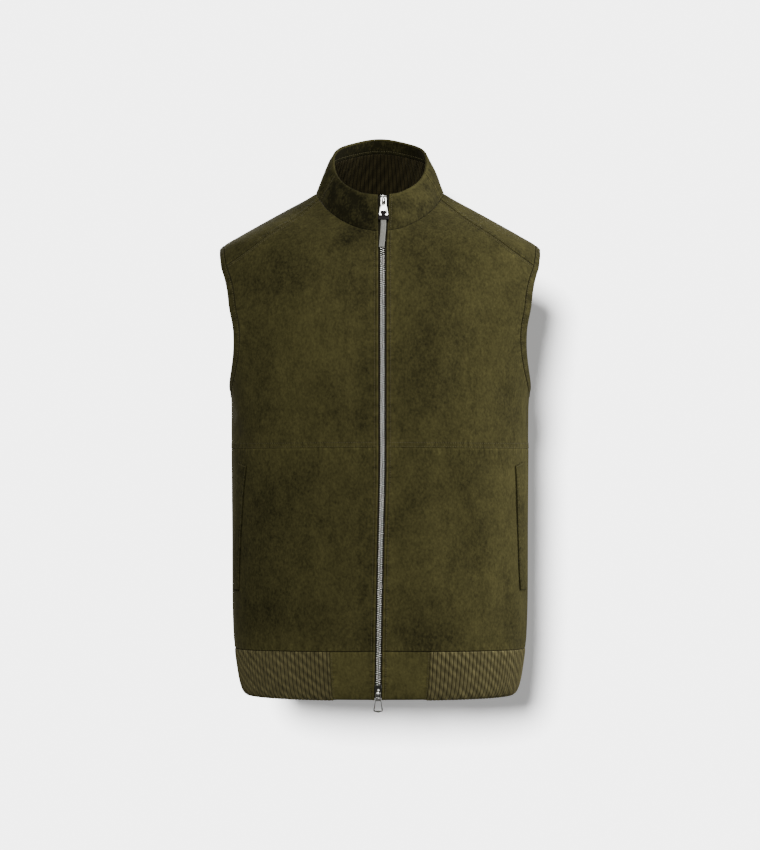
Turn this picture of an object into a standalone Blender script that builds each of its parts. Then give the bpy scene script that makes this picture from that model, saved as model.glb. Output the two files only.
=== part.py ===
"""Sleeveless suede gilet, filled out as worn: stand collar, two-way zip, welt pockets, rib hem.

Every cloth piece is a thin wall on one garment surface, which is worked out from the body sections
and the collar below. Metres, +Z up, front towards -Y, the viewer's left towards -X. The origin is
on the centre plane at the height of the neck ends of the shoulders, where the wearer carries it.
Table values are millimetres and degrees, unless a comment says otherwise.
"""
import math
from collections import namedtuple

import bmesh
import bpy
import numpy as np
from mathutils import Matrix, Vector
from mathutils.geometry import delaunay_2d_cdt

MM = 0.001

# Horizontal sections of the body, from the neck down to the rolled-in edge of the hem
Section = namedtuple("Section", "z half_width front_depth back_depth squareness")
BODY_SECTIONS = (
    Section(8, 76.0, 22.0, 63.0, 2.20),
    Section(4, 84.0, 27.0, 67.0, 2.20),
    Section(-4, 97.5, 35.0, 72.5, 2.20),
    Section(-17, 121.5, 52.0, 80.0, 2.20),
    Section(-30, 145.0, 69.0, 87.0, 2.25),
    Section(-43, 168.0, 84.0, 94.0, 2.30),
    Section(-51, 182.0, 92.0, 98.0, 2.30),
    Section(-66, 206.0, 100.5, 104.0, 2.35),
    Section(-84, 219.0, 107.5, 110.0, 2.40),
    Section(-100, 224.0, 113.0, 116.0, 2.40),
    Section(-140, 223.0, 124.0, 124.0, 2.40),
    Section(-180, 214.0, 131.0, 129.0, 2.40),
    Section(-210, 206.0, 133.5, 129.5, 2.40),
    Section(-236, 200.0, 135.0, 129.0, 2.40),
    Section(-264, 195.6, 135.5, 127.0, 2.40),
    Section(-330, 194.5, 135.5, 121.0, 2.40),
    Section(-420, 194.0, 133.5, 116.0, 2.40),
    Section(-520, 193.3, 130.0, 117.0, 2.40),
    Section(-575, 191.5, 128.0, 119.5, 2.40),
    Section(-590, 189.5, 127.0, 119.0, 2.40),
    Section(-612, 186.5, 125.0, 117.0, 2.40),
    Section(-632, 183.0, 122.0, 114.0, 2.40),
    Section(-645, 178.5, 119.0, 110.0, 2.40),
    Section(-651, 172.0, 115.0, 104.0, 2.40),
)

# Largest soft folds: a trough (negative) or ridge (positive) laid on the body surface
Fold = namedtuple("Fold", "turn z half_length half_width tilt height")
FOLDS = (
    Fold(34, -190, 95, 26, 72, -2.6),
    Fold(-38, -210, 105, 28, 106, -3.0),
    Fold(-22, -400, 90, 30, 82, -2.4),
    Fold(27, -430, 100, 30, 98, -2.6),
    Fold(50, -545, 60, 24, 60, -2.4),
    Fold(-48, -540, 65, 24, 118, -2.8),
    Fold(-70, -300, 60, 22, 150, -3.0),
    Fold(72, -310, 62, 22, 32, -2.6),
    Fold(150, -180, 110, 30, 80, -3.0),
    Fold(208, -200, 115, 32, 98, -3.2),
    Fold(176, -440, 120, 34, 90, -2.6),
    Fold(118, -420, 90, 28, 104, -3.0),
    Fold(240, -400, 95, 28, 78, -2.8),
)

# Neck seam and collar rim: height at each turn round the neck, 0 at the zip and 180 at the nape. The
# rim has one more row past the nape, so that it is level there.
Height = namedtuple("Height", "turn z")
NECK_SEAM = (
    Height(0, -51.0),
    Height(17, -46.5),
    Height(32, -37.8),
    Height(44, -28.4),
    Height(56, -17.7),
    Height(67, -6.6),
    Height(80, 1.0),
    Height(90, 4.0),
    Height(135, 4.0),
    Height(180, 3.0),
)
COLLAR_RIM = (
    Height(0, -1.8),
    Height(20, 1.0),
    Height(36, 7.4),
    Height(53, 17.1),
    Height(70, 30.5),
    Height(82, 42.5),
    Height(100, 59.0),
    Height(135, 73.0),
    Height(180, 82.0),
    Height(225, 73.0),
)
RIM_HALF_WIDTH = 61.5
RIM_FRONT_DEPTH = 70.0
RIM_BACK_DEPTH = 62.0
COLLAR_BOW = 1.5

# Zip line: how far its middle strays from the centre plane, and half the gap between the front edges
ZipRow = namedtuple("ZipRow", "z middle half_gap")
ZIP_LINE = (
    ZipRow(6, 4.6, 7.6),
    ZipRow(-30, 4.0, 6.2),
    ZipRow(-76, 3.0, 4.9),
    ZipRow(-338, 3.0, 4.7),
    ZipRow(-440, 1.0, 4.4),
    ZipRow(-540, -1.0, 4.2),
    ZipRow(-655, -2.6, 4.3),
)

# Seams that cross the body
SHOULDER_TURN = 70.0
ShoulderPoint = namedtuple("ShoulderPoint", "x z")
SHOULDER_SEAM = (
    ShoulderPoint(107.4, -29.3),
    ShoulderPoint(145.4, -55.0),
    ShoulderPoint(172.3, -75.0),
)
WAIST_SEAM_FRONT = -327.0
WAIST_SEAM_SIDE = -330.0
HEM_SEAM_FRONT = -586.0
HEM_SEAM_SIDE = -590.0
HEM_BOTTOM = -649.0
SIDE_TURN = 90.0

# Armhole: the free edge of its band and the seam that joins the band to the panels
ARMHOLE_MIDDLE = -161.0
ArmholeRing = namedtuple("ArmholeRing", "half_turn rise drop")
ARMHOLE_EDGE = ArmholeRing(33.5, 91.0, 91.0)
ARMHOLE_SEAM = ArmholeRing(37.7, 97.2, 103.0)
ARMHOLE_SQUARE_ABOVE = 2.8
ARMHOLE_SQUARE_BELOW = 1.9
ARMHOLE_STEPS = 48
SHOULDER_STEP = 5

# Hem tabs beside the zip, and the ribs of the knit
TAB_END_X = 64.5
RIB_PITCH = 5.3
RIB_HEIGHT = 1.1
HEM_ROWS = (-612.0, -636.0)

# Pocket welts: the front line of the left welt, the right one mirrored and a little further back
WeltRow = namedtuple("WeltRow", "z left_x right_x")
WELT_LINE = (
    WeltRow(-351, 170.7, 174.0),
    WeltRow(-381, 174.0, 174.8),
    WeltRow(-415, 176.5, 175.6),
    WeltRow(-470, 180.0, 177.8),
    WeltRow(-512, 181.2, 180.6),
)
WELT_WIDTH_TURN = 8.0
WELT_SLANT = 5.0

# Walls, gaps and mesh sizes
SUEDE_WALL = 1.8
FACING_WALL = 1.2
RIB_WALL = 2.4
WELT_WALL = 1.4
TAPE_WALL = 0.9
SEAM_GAP = 0.3
LINING_GAP = 0.5
TAPE_GAP = 0.95
FACING_DEPTH = 20.0
TURN_RADIUS = 195.0
LATTICE = 26.0
SEAM_STEP = 20.0
EDGE_STEP = 13.0
NECK_FRONT_COLUMNS = 13
NECK_BACK_COLUMNS = 41
SHOULDER_COLUMNS = 8
WAIST_COLUMNS = 17
BACK_HEM_COLUMNS = 25
TAB_COLUMNS = 5
HEM_FRONT_COLUMNS = 13
COLLAR_ROWS = 5
FACING_COLUMNS = 57
WELT_ROWS = 9
WELT_COLUMNS = 4
FINE_TURNS = 1441
TURN_STEP = 0.5
HEIGHT_STEP = 1.0
COLLAR_STEP = 0.02
SMOOTH_ANGLE = 40.0
SHARPEST_MITRE = 0.35

# Rib lining of the collar: how far up the collar it starts, how far below the facing it ends, and
# the height at which its ribs are evenly spaced, all as shares of the collar's height
LINING_FOOT = 0.03
LINING_TOP_GAP = 0.008
LINING_EVEN_AT = 0.5

# Zip chain, sliders and pull tabs
ZIP_EVEN_FROM = -610.0
ZIP_EVEN_TO = -130.0
ZIP_FINE_STEP = 8.0
STRIP_COLUMNS = 3
TAPE_INNER = 1.3
TAPE_OUTER = 14.0
COLLAR_LINING_START = 14.8
CHAIN_HALF_WIDTH = 3.0
CHAIN_FRONT = 0.5
CHAIN_BACK = -2.3
ZIP_TOP_GAP = 0.6
TOP_SLIDER_Z = -11.5
BOTTOM_SLIDER_Z = -635.0
SLIDER_LENGTH = 14.0
SliderRow = namedtuple("SliderRow", "along half_width")
SLIDER_FORM = (
    SliderRow(-7.0, 3.2),
    SliderRow(-5.5, 3.9),
    SliderRow(2.5, 4.6),
    SliderRow(5.4, 4.2),
    SliderRow(7.0, 2.6),
)
SLIDER_PLATE = 1.3
SLIDER_PLATE_BASE = 1.0
SLIDER_BACK = -4.4
SLIDER_WEB = 0.8
BAIL_HALF_WIDTH = 1.1
BAIL_RADIUS = 2.9
BAIL_BORE = 1.5
BAIL_FLATNESS = 0.8
BAIL_STEPS = 9
PIN_OFFSET = 4.2
TOP_PIN_UP = 2.5
BOTTOM_PIN_UP = -4.0
TAB_PLATE = 1.2
TAB_PIN_HALF = 0.9
TAB_CORNER_IN = 1.6
TAB_CORNER_UP = 2.4
EYE_SIDE_GAP = 0.5

TabTaper = namedtuple("TabTaper", "top_half bottom_half length eye slot_half slot_low slot_high")
TOP_TAB = TabTaper(3.9, 6.3, 25.5, 5.4, 3.7, 23.0, 18.8)
BOTTOM_TAB = TabTaper(3.4, 6.2, 23.0, 5.4, 3.8, 20.6, 10.4)

# Leather loop through the lower slot of the top tab: below the tab it is a wide band, which tapers to
# the end that holds the strap
LOOP_RISE = 1.9
LOOP_THICKNESS = 3.4
LOOP_SIDE_GAP = 0.4
LOOP_FOOT = 1.5
BAND_HALF_WIDTH = 7.3
BAND_DROP = 0.2
BAND_THICKNESS = 3.8
BAND_BEND = 3.0
BAND_REACH = 6.0
BAND_END_HALF = 0.9
STRAP_LENGTH = 39.0
STRAP_END_DROP = 66.0
STRAP_END_LIFT = 3.0
STRAP_HALF_WIDTH = 3.5
STRAP_THICKNESS = 1.3

# Finishes: sRGB colour, roughness, metallic
Finish = namedtuple("Finish", "colour roughness metallic")
SUEDE = Finish((72, 66, 37), 0.95, 0.0)
RIB_KNIT = Finish((78, 71, 43), 0.92, 0.0)
LINING_KNIT = Finish((56, 51, 28), 0.92, 0.0)
TAPE = Finish((58, 52, 32), 0.85, 0.0)
METAL = Finish((186, 184, 178), 0.28, 1.0)
LEATHER = Finish((44, 34, 25), 0.6, 0.0)
STRAP = Finish((128, 128, 120), 0.75, 0.0)


def clear_scene():
    """Remove every object that the scene starts with."""
    for old in list(bpy.data.objects):
        bpy.data.objects.remove(old, do_unlink=True)


def material(name, finish):
    """A Principled material of the finish."""
    made = bpy.data.materials.new(name)
    made.use_nodes = True
    shader = made.node_tree.nodes["Principled BSDF"]
    linear = [((c / 255 + 0.055) / 1.055) ** 2.4 for c in finish.colour]
    shader.inputs["Base Color"].default_value = (*linear, 1.0)
    shader.inputs["Roughness"].default_value = finish.roughness
    shader.inputs["Metallic"].default_value = finish.metallic
    return made


def smooth_curve(places, values):
    """A curve through the values with no overshoot: cubic pieces whose slopes are harmonic means."""
    places = np.asarray(places, float)
    values = np.asarray(values, float)
    order = np.argsort(places)
    places, values = places[order], values[order]
    steps = np.diff(places)
    slopes = np.diff(values) / steps
    ends = np.zeros(len(places))
    same_way = slopes[:-1] * slopes[1:] > 0
    left, right = slopes[:-1][same_way], slopes[1:][same_way]
    ends[1:-1][same_way] = 2 * left * right / (left + right)
    ends[0], ends[-1] = slopes[0], slopes[-1]

    def curve(at):
        at = np.clip(np.asarray(at, float), places[0], places[-1])
        k = np.clip(np.searchsorted(places, at) - 1, 0, len(steps) - 1)
        t = (at - places[k]) / steps[k]
        rise = values[k + 1] - values[k]
        bend = steps[k] * ends[k]
        bend_end = steps[k] * ends[k + 1]
        return (values[k] + bend * t + (3 * rise - 2 * bend - bend_end) * t ** 2
                + (bend + bend_end - 2 * rise) * t ** 3)
    return curve


def column(table, name):
    """One named column of a table."""
    return [getattr(row, name) for row in table]


section_at = {name: smooth_curve(column(BODY_SECTIONS, "z"), column(BODY_SECTIONS, name))
              for name in ("half_width", "front_depth", "back_depth", "squareness")}
neck_height = smooth_curve(column(NECK_SEAM, "turn"), column(NECK_SEAM, "z"))
rim_height = smooth_curve(column(COLLAR_RIM, "turn"), column(COLLAR_RIM, "z"))
zip_middle = smooth_curve(column(ZIP_LINE, "z"), column(ZIP_LINE, "middle"))
zip_half_gap = smooth_curve(column(ZIP_LINE, "z"), column(ZIP_LINE, "half_gap"))
NECK_HALF_WIDTH = float(section_at["half_width"](neck_height(90.0)))


def wrapped(turn, middle):
    """How far each turn lies from the middle, in degrees from -180 to 180."""
    return (turn - middle + 180.0) % 360.0 - 180.0


def fold_height(turn, z):
    """Sum of the soft folds: each is a Gaussian trough or ridge along its own tilted line."""
    total = np.zeros(np.broadcast(turn, z).shape)
    for fold in FOLDS:
        across = np.radians(wrapped(turn, fold.turn)) * TURN_RADIUS
        up = z - fold.z
        tilt = math.radians(fold.tilt)
        along = across * math.cos(tilt) + up * math.sin(tilt)
        side = up * math.cos(tilt) - across * math.sin(tilt)
        total += fold.height * np.exp(-(along / fold.half_length) ** 2 - (side / fold.half_width) ** 2)
    return total


def bare_body(turn, z):
    """Body surface without folds: a superellipse at each height, its front and back depths apart."""
    turn, z = np.broadcast_arrays(np.asarray(turn, float), np.asarray(z, float))
    sine, cosine = np.sin(np.radians(turn)), np.cos(np.radians(turn))
    power = section_at["squareness"](z)
    reach = (np.abs(sine) ** power + np.abs(cosine) ** power) ** (-1.0 / power)
    depth = np.where(cosine > 0, section_at["front_depth"](z), section_at["back_depth"](z))
    return np.stack([section_at["half_width"](z) * reach * sine, -depth * reach * cosine, z], -1)


def normals_of(surface, u, v, step_u, step_v):
    """Outward unit normals of a surface, from central differences along its two parameters."""
    along_u = surface(u + step_u, v) - surface(u - step_u, v)
    along_v = surface(u, v + step_v) - surface(u, v - step_v)
    cross = np.cross(along_u, along_v)
    return cross / np.linalg.norm(cross, axis=-1, keepdims=True)


def body(turn, z):
    """Body surface with its folds, moved along the bare surface's normals."""
    turn, z = np.broadcast_arrays(np.asarray(turn, float), np.asarray(z, float))
    base = bare_body(turn, z)
    normal = normals_of(bare_body, turn, z, TURN_STEP, HEIGHT_STEP)
    return base + normal * fold_height(turn, z)[..., None]


def body_normals(turn, z):
    """Outward normals of the body surface."""
    return normals_of(body, np.asarray(turn, float), np.asarray(z, float), TURN_STEP, HEIGHT_STEP)


def turn_at(x, z):
    """The turn, in front, at which the bare body surface reaches x at the height z."""
    ratio = np.clip(np.abs(x) / section_at["half_width"](z), 0.0, 0.99999)
    power = section_at["squareness"](z)
    tangent = (ratio ** power / (1.0 - ratio ** power)) ** (1.0 / power)
    return np.sign(x) * np.degrees(np.arctan(tangent))


def neck_body_turn(turn):
    """The body surface's own turn at each place round the neck seam."""
    around = np.abs(wrapped(turn, 0.0))
    z = neck_height(around)
    front = turn_at(NECK_HALF_WIDTH * np.sin(np.radians(around)), z)
    placed = np.where(around <= 90.0, front, 180.0 - front)
    return np.sign(wrapped(turn, 0.0)) * placed


def neck_seam(turn):
    """Points of the neck seam, on the body surface."""
    return body(neck_body_turn(turn), neck_height(np.abs(wrapped(turn, 0.0))))


def collar(turn, up):
    """Collar surface: straight from the neck seam (up 0) to the rim (up 1), bowed slightly outwards."""
    turn, up = np.broadcast_arrays(np.asarray(turn, float), np.asarray(up, float))
    sine, cosine = np.sin(np.radians(turn)), np.cos(np.radians(turn))
    depth = np.where(cosine > 0, RIM_FRONT_DEPTH, RIM_BACK_DEPTH)
    rim = np.stack([RIM_HALF_WIDTH * sine, -depth * cosine, rim_height(np.abs(wrapped(turn, 0.0)))], -1)
    outward = np.stack([sine, -cosine, np.zeros_like(sine)], -1)
    bow = COLLAR_BOW * 4.0 * up * (1.0 - up)
    share = up[..., None]
    return neck_seam(turn) * (1.0 - share) + rim * share + outward * bow[..., None]


def collar_normals(turn, up):
    """Outward normals of the collar surface."""
    return normals_of(collar, np.asarray(turn, float), np.asarray(up, float), TURN_STEP, COLLAR_STEP)


def collar_turn(x, up):
    """The turn round the collar at which it reaches x, near the zip."""
    width = NECK_HALF_WIDTH * (1.0 - up) + RIM_HALF_WIDTH * up
    return np.degrees(np.arcsin(x / width))


def neck_turn(x):
    """The turn round the neck seam at x, near the zip."""
    return collar_turn(x, 0.0)


def front_surface(x, z, lift):
    """Points above the front edge of the garment at x and z: on the body below the neck seam, and
    on the collar above it, lifted along the normals.
    """
    x, z, lift = np.broadcast_arrays(*(np.asarray(a, float) for a in (x, z, lift)))
    seam_z = neck_height(np.abs(neck_turn(x)))
    up = np.clip((z - seam_z) / (rim_height(0.0) - seam_z), 0.0, 1.0)
    turn = turn_at(x, np.minimum(z, seam_z))
    low = body(turn, z) + body_normals(turn, z) * lift[..., None]
    around = collar_turn(x, up)
    high = collar(around, up) + collar_normals(around, up) * lift[..., None]
    return np.where((z <= seam_z)[..., None], low, high)


def mesh_of(name, points, faces):
    """A mesh from points in millimetres."""
    mesh = bpy.data.meshes.new(name)
    mesh.from_pydata((np.asarray(points, float) * MM).tolist(), [], [list(map(int, f)) for f in faces])
    mesh.update()
    return mesh


def placed(name, mesh, frame, finish_material):
    """An object from a mesh and its local frame, shaded smooth between its sharp edges."""
    made = bpy.data.objects.new(name, mesh)
    bpy.context.scene.collection.objects.link(made)
    made.matrix_world = frame
    mesh.materials.append(finish_material)
    mesh.shade_smooth()
    mesh.set_sharp_from_angle(angle=math.radians(SMOOTH_ANGLE))
    return made


def make_object(name, points, faces, finish_material):
    """An object from points that are already in the garment's own frame."""
    return placed(name, mesh_of(name, points, faces), Matrix.Identity(4), finish_material)


def seam_shift(points, normals, loop, gap):
    """How far each point of an edge loop moves into its panel, so that half a gap is left there."""
    at = points[loop]
    onward = np.roll(at, -1, axis=0) - at
    onward /= np.linalg.norm(onward, axis=1, keepdims=True)
    inward_next = np.cross(normals[loop], onward)
    inward_next /= np.linalg.norm(inward_next, axis=1, keepdims=True)
    inward_last = np.cross(normals[loop], np.roll(onward, 1, axis=0))
    inward_last /= np.linalg.norm(inward_last, axis=1, keepdims=True)
    both = inward_next + inward_last
    share = 1.0 + np.sum(inward_next * inward_last, axis=1, keepdims=True)
    return both / np.maximum(share, SHARPEST_MITRE) * gap / 2.0


def shell(name, points, normals, faces, loops, lifts, finish_material, gap=SEAM_GAP):
    """A closed wall: its outer and inner sides are the points lifted along the normals.

    The loops are its edges, with the panel on their left when seen from outside.
    """
    outer_lift, inner_lift = lifts
    moved = points.copy()
    for loop in loops:
        moved[loop] += seam_shift(points, normals, loop, gap)
    count = len(points)
    walls = []
    for loop in loops:
        ends = np.roll(loop, -1)
        walls += [(i, i + count, j + count, j) for i, j in zip(loop, ends)]
    inner_faces = [[i + count for i in reversed(face)] for face in faces]
    both = np.concatenate([moved + normals * outer_lift, moved + normals * inner_lift])
    return make_object(name, both, list(faces) + inner_faces + walls, finish_material)


def grid_faces(rows, columns, closed=False):
    """Quads of a grid with its rows going up and its columns going round, seen from outside."""
    wide = columns if closed else columns - 1
    return [(r * columns + c, r * columns + (c + 1) % columns,
             (r + 1) * columns + (c + 1) % columns, (r + 1) * columns + c)
            for r in range(rows - 1) for c in range(wide)]


def grid_loop(rows, columns):
    """Edge of an open grid, with the grid on its left."""
    bottom = [c for c in range(columns)]
    right = [r * columns + columns - 1 for r in range(1, rows)]
    top = [(rows - 1) * columns + c for c in range(columns - 2, -1, -1)]
    left = [r * columns for r in range(rows - 2, 0, -1)]
    return np.array(bottom + right + top + left)


def grid_piece(name, surface, normals, u, v, lifts, finish_material, gap=SEAM_GAP):
    """A wall on a surface, from grids of its two parameters with a row for each height."""
    rows, columns = u.shape
    points = surface(u, v).reshape(-1, 3)
    outward = normals(u, v).reshape(-1, 3)
    return shell(name, points, outward, grid_faces(rows, columns), [grid_loop(rows, columns)], lifts,
                 finish_material, gap)


def distance_to_outline(places, outline):
    """Least distance of each place in the plane to the outline's edges."""
    start = outline[None, :, :]
    edge = np.roll(outline, -1, axis=0)[None, :, :] - start
    from_start = places[:, None, :] - start
    share = np.clip(np.sum(from_start * edge, -1) / np.sum(edge * edge, -1), 0.0, 1.0)
    return np.linalg.norm(from_start - edge * share[..., None], axis=-1).min(axis=1)


def inside_outline(places, outline):
    """True for each place that lies inside the closed outline, by counting crossings to one side."""
    x, y = places[:, 0:1], places[:, 1:2]
    x0, y0 = outline[None, :, 0], outline[None, :, 1]
    x1, y1 = np.roll(x0, -1, axis=1), np.roll(y0, -1, axis=1)
    spans = (y0 > y) != (y1 > y)
    rise = np.where(y1 == y0, 1.0, y1 - y0)
    crossing = x0 + (y - y0) * (x1 - x0) / rise
    return (np.sum(spans & (x < crossing), axis=1) % 2) == 1


def lattice_inside(outline):
    """Points of a triangular lattice inside an outline, clear of its edges by half a step."""
    low, high = outline.min(axis=0), outline.max(axis=0)
    row_step = LATTICE * math.sqrt(3) / 2
    places = []
    for k, row in enumerate(np.arange(low[1] + row_step / 2, high[1], row_step)):
        across = np.arange(low[0] + LATTICE * (0.5 + 0.5 * (k % 2)), high[0], LATTICE)
        places.append(np.stack([across, np.full_like(across, row)], axis=1))
    places = np.concatenate(places)
    places = places[inside_outline(places, outline)]
    return places[distance_to_outline(places, outline) > LATTICE / 2]


def panel(name, turns, heights, finish_material):
    """A body panel cut to an outline of turns and heights, with a lattice of points inside it."""
    outline = np.stack([np.radians(turns) * TURN_RADIUS, heights], axis=1)
    after = np.roll(outline, -1, axis=0)
    area = np.sum(outline[:, 0] * after[:, 1] - after[:, 0] * outline[:, 1])
    if area < 0:
        outline = outline[::-1].copy()
    flat = np.concatenate([outline, lattice_inside(outline)])
    count = len(outline)
    edges = [(i, (i + 1) % count) for i in range(count)]
    made = delaunay_2d_cdt([Vector(p) for p in flat], edges, [], 1, 1e-6)
    flat = np.array([tuple(p) for p in made[0]])
    faces = [tuple(f) for f in made[2]]
    made_from = {given: k for k, origins in enumerate(made[3]) for given in origins}
    loop = np.array([made_from[i] for i in range(count)])
    turn, z = np.degrees(flat[:, 0] / TURN_RADIUS), flat[:, 1]
    return shell(name, body(turn, z), body_normals(turn, z), faces, [loop], (0.0, -SUEDE_WALL),
                 finish_material)


def steps_between(start, end, size=SEAM_STEP):
    """Evenly spaced values from start to end, about a step apart."""
    return np.linspace(start, end, max(2, int(round(abs(end - start) / size)) + 1))


def waist_height(turn):
    """Height of the waist seam."""
    return WAIST_SEAM_FRONT + (WAIST_SEAM_SIDE - WAIST_SEAM_FRONT) * np.abs(turn) / SIDE_TURN


def hem_height(turn):
    """Height of the hem seam, level round the back."""
    share = np.minimum(np.abs(wrapped(turn, 0.0)) / SIDE_TURN, 1.0)
    return HEM_SEAM_FRONT + (HEM_SEAM_SIDE - HEM_SEAM_FRONT) * share


def armhole_ring(ring, step):
    """Turn and height on an armhole ring: step 0 is foremost, a quarter of the steps up is the top."""
    angle = 2.0 * np.pi * np.asarray(step, float) / ARMHOLE_STEPS
    sine, cosine = np.sin(angle), np.cos(angle)
    power = np.where(sine > 0, 2.0 / ARMHOLE_SQUARE_ABOVE, 2.0 / ARMHOLE_SQUARE_BELOW)
    reach = np.where(sine > 0, ring.rise, ring.drop)
    turn = SIDE_TURN - ring.half_turn * np.sign(cosine) * np.abs(cosine) ** power
    return turn, ARMHOLE_MIDDLE + reach * np.sign(sine) * np.abs(sine) ** power


def front_edge(side, z):
    """Turn of a front panel's edge beside the zip: side is -1 at the left and 1 at the right."""
    return turn_at(zip_middle(z) + side * zip_half_gap(z), z)


def neck_corner(side):
    """Turn round the neck seam where a front panel's edge meets it."""
    return neck_turn(zip_middle(NECK_SEAM[0].z) + side * zip_half_gap(NECK_SEAM[0].z))


def neck_front_turns(side):
    """Turns round the neck seam from the zip to the shoulder seam."""
    return np.linspace(neck_corner(side), side * SHOULDER_TURN, NECK_FRONT_COLUMNS)


def neck_back_turns():
    """Turns round the back of the neck seam, from one shoulder seam to the other."""
    return np.linspace(SHOULDER_TURN, 360.0 - SHOULDER_TURN, NECK_BACK_COLUMNS)


def shoulder_line():
    """Turn and height along the right forward shoulder seam, from the neck to the armhole."""
    neck_z = float(neck_height(SHOULDER_TURN))
    neck_x = NECK_HALF_WIDTH * math.sin(math.radians(SHOULDER_TURN))
    end_turn, end_z = armhole_ring(ARMHOLE_SEAM, SHOULDER_STEP)
    end_x = float(bare_body(end_turn, end_z)[0])
    xs = [neck_x] + column(SHOULDER_SEAM, "x") + [end_x]
    zs = [neck_z] + column(SHOULDER_SEAM, "z") + [float(end_z)]
    drop = smooth_curve(xs, zs)
    x = np.linspace(neck_x, end_x, SHOULDER_COLUMNS)
    z = drop(x)
    turn = turn_at(x, z)
    turn[0] = float(neck_body_turn(SHOULDER_TURN))
    turn[-1], z[-1] = end_turn, end_z
    return turn, z


def side_rows_upper():
    """Heights along the side seam of the upper front, from the waist to under the arm."""
    return steps_between(WAIST_SEAM_SIDE, ARMHOLE_MIDDLE - ARMHOLE_SEAM.drop)


def side_rows_lower():
    """Heights along the side seam of the lower front, from the hem seam to the waist."""
    return steps_between(HEM_SEAM_SIDE, WAIST_SEAM_SIDE)


def waist_turns(side):
    """Turns along the waist seam from the zip to the side."""
    start = float(front_edge(side, WAIST_SEAM_FRONT))
    return np.linspace(start, side * SIDE_TURN, WAIST_COLUMNS)


def tab_end(side):
    """Turn of the seam between a hem tab and the rib."""
    return float(turn_at(side * TAB_END_X, HEM_SEAM_FRONT))


def hem_turns(side):
    """Turns along the hem seam from the zip to the tab's end, and from there to the side."""
    start = float(front_edge(side, HEM_SEAM_FRONT))
    tab = np.linspace(start, tab_end(side), TAB_COLUMNS)
    rest = np.linspace(tab_end(side), side * SIDE_TURN, HEM_FRONT_COLUMNS)
    return tab, rest


def joined(*stretches):
    """One closed outline from stretches that share their end points."""
    turns = np.concatenate([s[0][:-1] for s in stretches])
    heights = np.concatenate([s[1][:-1] for s in stretches])
    return turns, heights


def make_upper_front(side, name, suede):
    """Upper front panel: zip edge, neck, shoulder seam, armhole, side seam and waist seam."""
    edge_z = steps_between(WAIST_SEAM_FRONT, float(neck_height(abs(neck_corner(side)))), EDGE_STEP)
    edge = (front_edge(side, edge_z), edge_z)
    around = neck_front_turns(side)
    neck = (neck_body_turn(around), neck_height(np.abs(around)))
    neck[0][0] = edge[0][-1]
    turn, z = shoulder_line()
    shoulder = (side * turn, z)
    ring = armhole_ring(ARMHOLE_SEAM, np.arange(SHOULDER_STEP, -ARMHOLE_STEPS // 4 - 1, -1))
    armhole = (side * ring[0], ring[1])
    rows = side_rows_upper()[::-1]
    seam = (np.full(len(rows), side * SIDE_TURN), rows)
    across = waist_turns(side)[::-1]
    waist = (across, waist_height(across))
    return panel(name, *joined(edge, neck, shoulder, armhole, seam, waist), suede)


def make_lower_front(side, name, suede):
    """Lower front panel: zip edge, waist seam, side seam and hem seam."""
    edge_z = steps_between(HEM_SEAM_FRONT, WAIST_SEAM_FRONT, EDGE_STEP)
    edge = (front_edge(side, edge_z), edge_z)
    across = waist_turns(side)
    waist = (across, waist_height(across))
    rows = side_rows_lower()[::-1]
    seam = (np.full(len(rows), side * SIDE_TURN), rows)
    tab, rest = hem_turns(side)
    along = np.concatenate([tab, rest[1:]])[::-1]
    hem = (along, hem_height(along))
    return panel(name, *joined(edge, waist, seam, hem), suede)


def make_back(suede):
    """Back panel: it wraps over both shoulders to the forward shoulder seams."""
    across = np.linspace(SIDE_TURN, 360.0 - SIDE_TURN, BACK_HEM_COLUMNS)
    hem = (across, hem_height(across))
    rows = np.concatenate([side_rows_lower(), side_rows_upper()[1:]])
    left_seam = (np.full(len(rows), 360.0 - SIDE_TURN), rows)
    ring = armhole_ring(ARMHOLE_SEAM, np.arange(3 * ARMHOLE_STEPS // 4, SHOULDER_STEP - 1, -1))
    left_armhole = (360.0 - ring[0], ring[1])
    turn, z = shoulder_line()
    left_shoulder = (360.0 - turn[::-1], z[::-1])
    around = neck_back_turns()[::-1]
    neck = (neck_body_turn(around) % 360.0, neck_height(np.abs(wrapped(around, 0.0))))
    right_shoulder = (turn, z)
    right_armhole = (ring[0][::-1], ring[1][::-1])
    right_seam = (np.full(len(rows), SIDE_TURN), rows[::-1])
    outline = joined(hem, left_seam, left_armhole, left_shoulder, neck, right_shoulder,
                     right_armhole, right_seam)
    return panel("back", *outline, suede)


def make_armhole_band(side, name, suede):
    """Strip round an armhole, from its seam with the panels to its free edge."""
    steps = np.arange(ARMHOLE_STEPS)
    seam_turn, seam_z = armhole_ring(ARMHOLE_SEAM, steps)
    edge_turn, edge_z = armhole_ring(ARMHOLE_EDGE, steps)
    turn = side * np.stack([seam_turn, (seam_turn + edge_turn) / 2, edge_turn])
    z = np.stack([seam_z, (seam_z + edge_z) / 2, edge_z])
    if side > 0:
        turn, z = turn[:, ::-1], z[:, ::-1]
    points = body(turn, z).reshape(-1, 3)
    normals = body_normals(turn, z).reshape(-1, 3)
    faces = grid_faces(3, ARMHOLE_STEPS, closed=True)
    loops = [np.arange(ARMHOLE_STEPS), 2 * ARMHOLE_STEPS + np.arange(ARMHOLE_STEPS)[::-1]]
    return shell(name, points, normals, faces, loops, (0.0, -SUEDE_WALL), suede)


def collar_rows():
    """Heights up the outer collar as a column."""
    return np.linspace(0.0, 1.0, COLLAR_ROWS)[:, None]


def facing_bottom(turn):
    """How far up the collar the facing's lower edge lies, the facing's depth below the rim."""
    tall = np.linalg.norm(collar(turn, np.ones_like(turn)) - collar(turn, np.zeros_like(turn)), axis=-1)
    return 1.0 - FACING_DEPTH / tall


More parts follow.
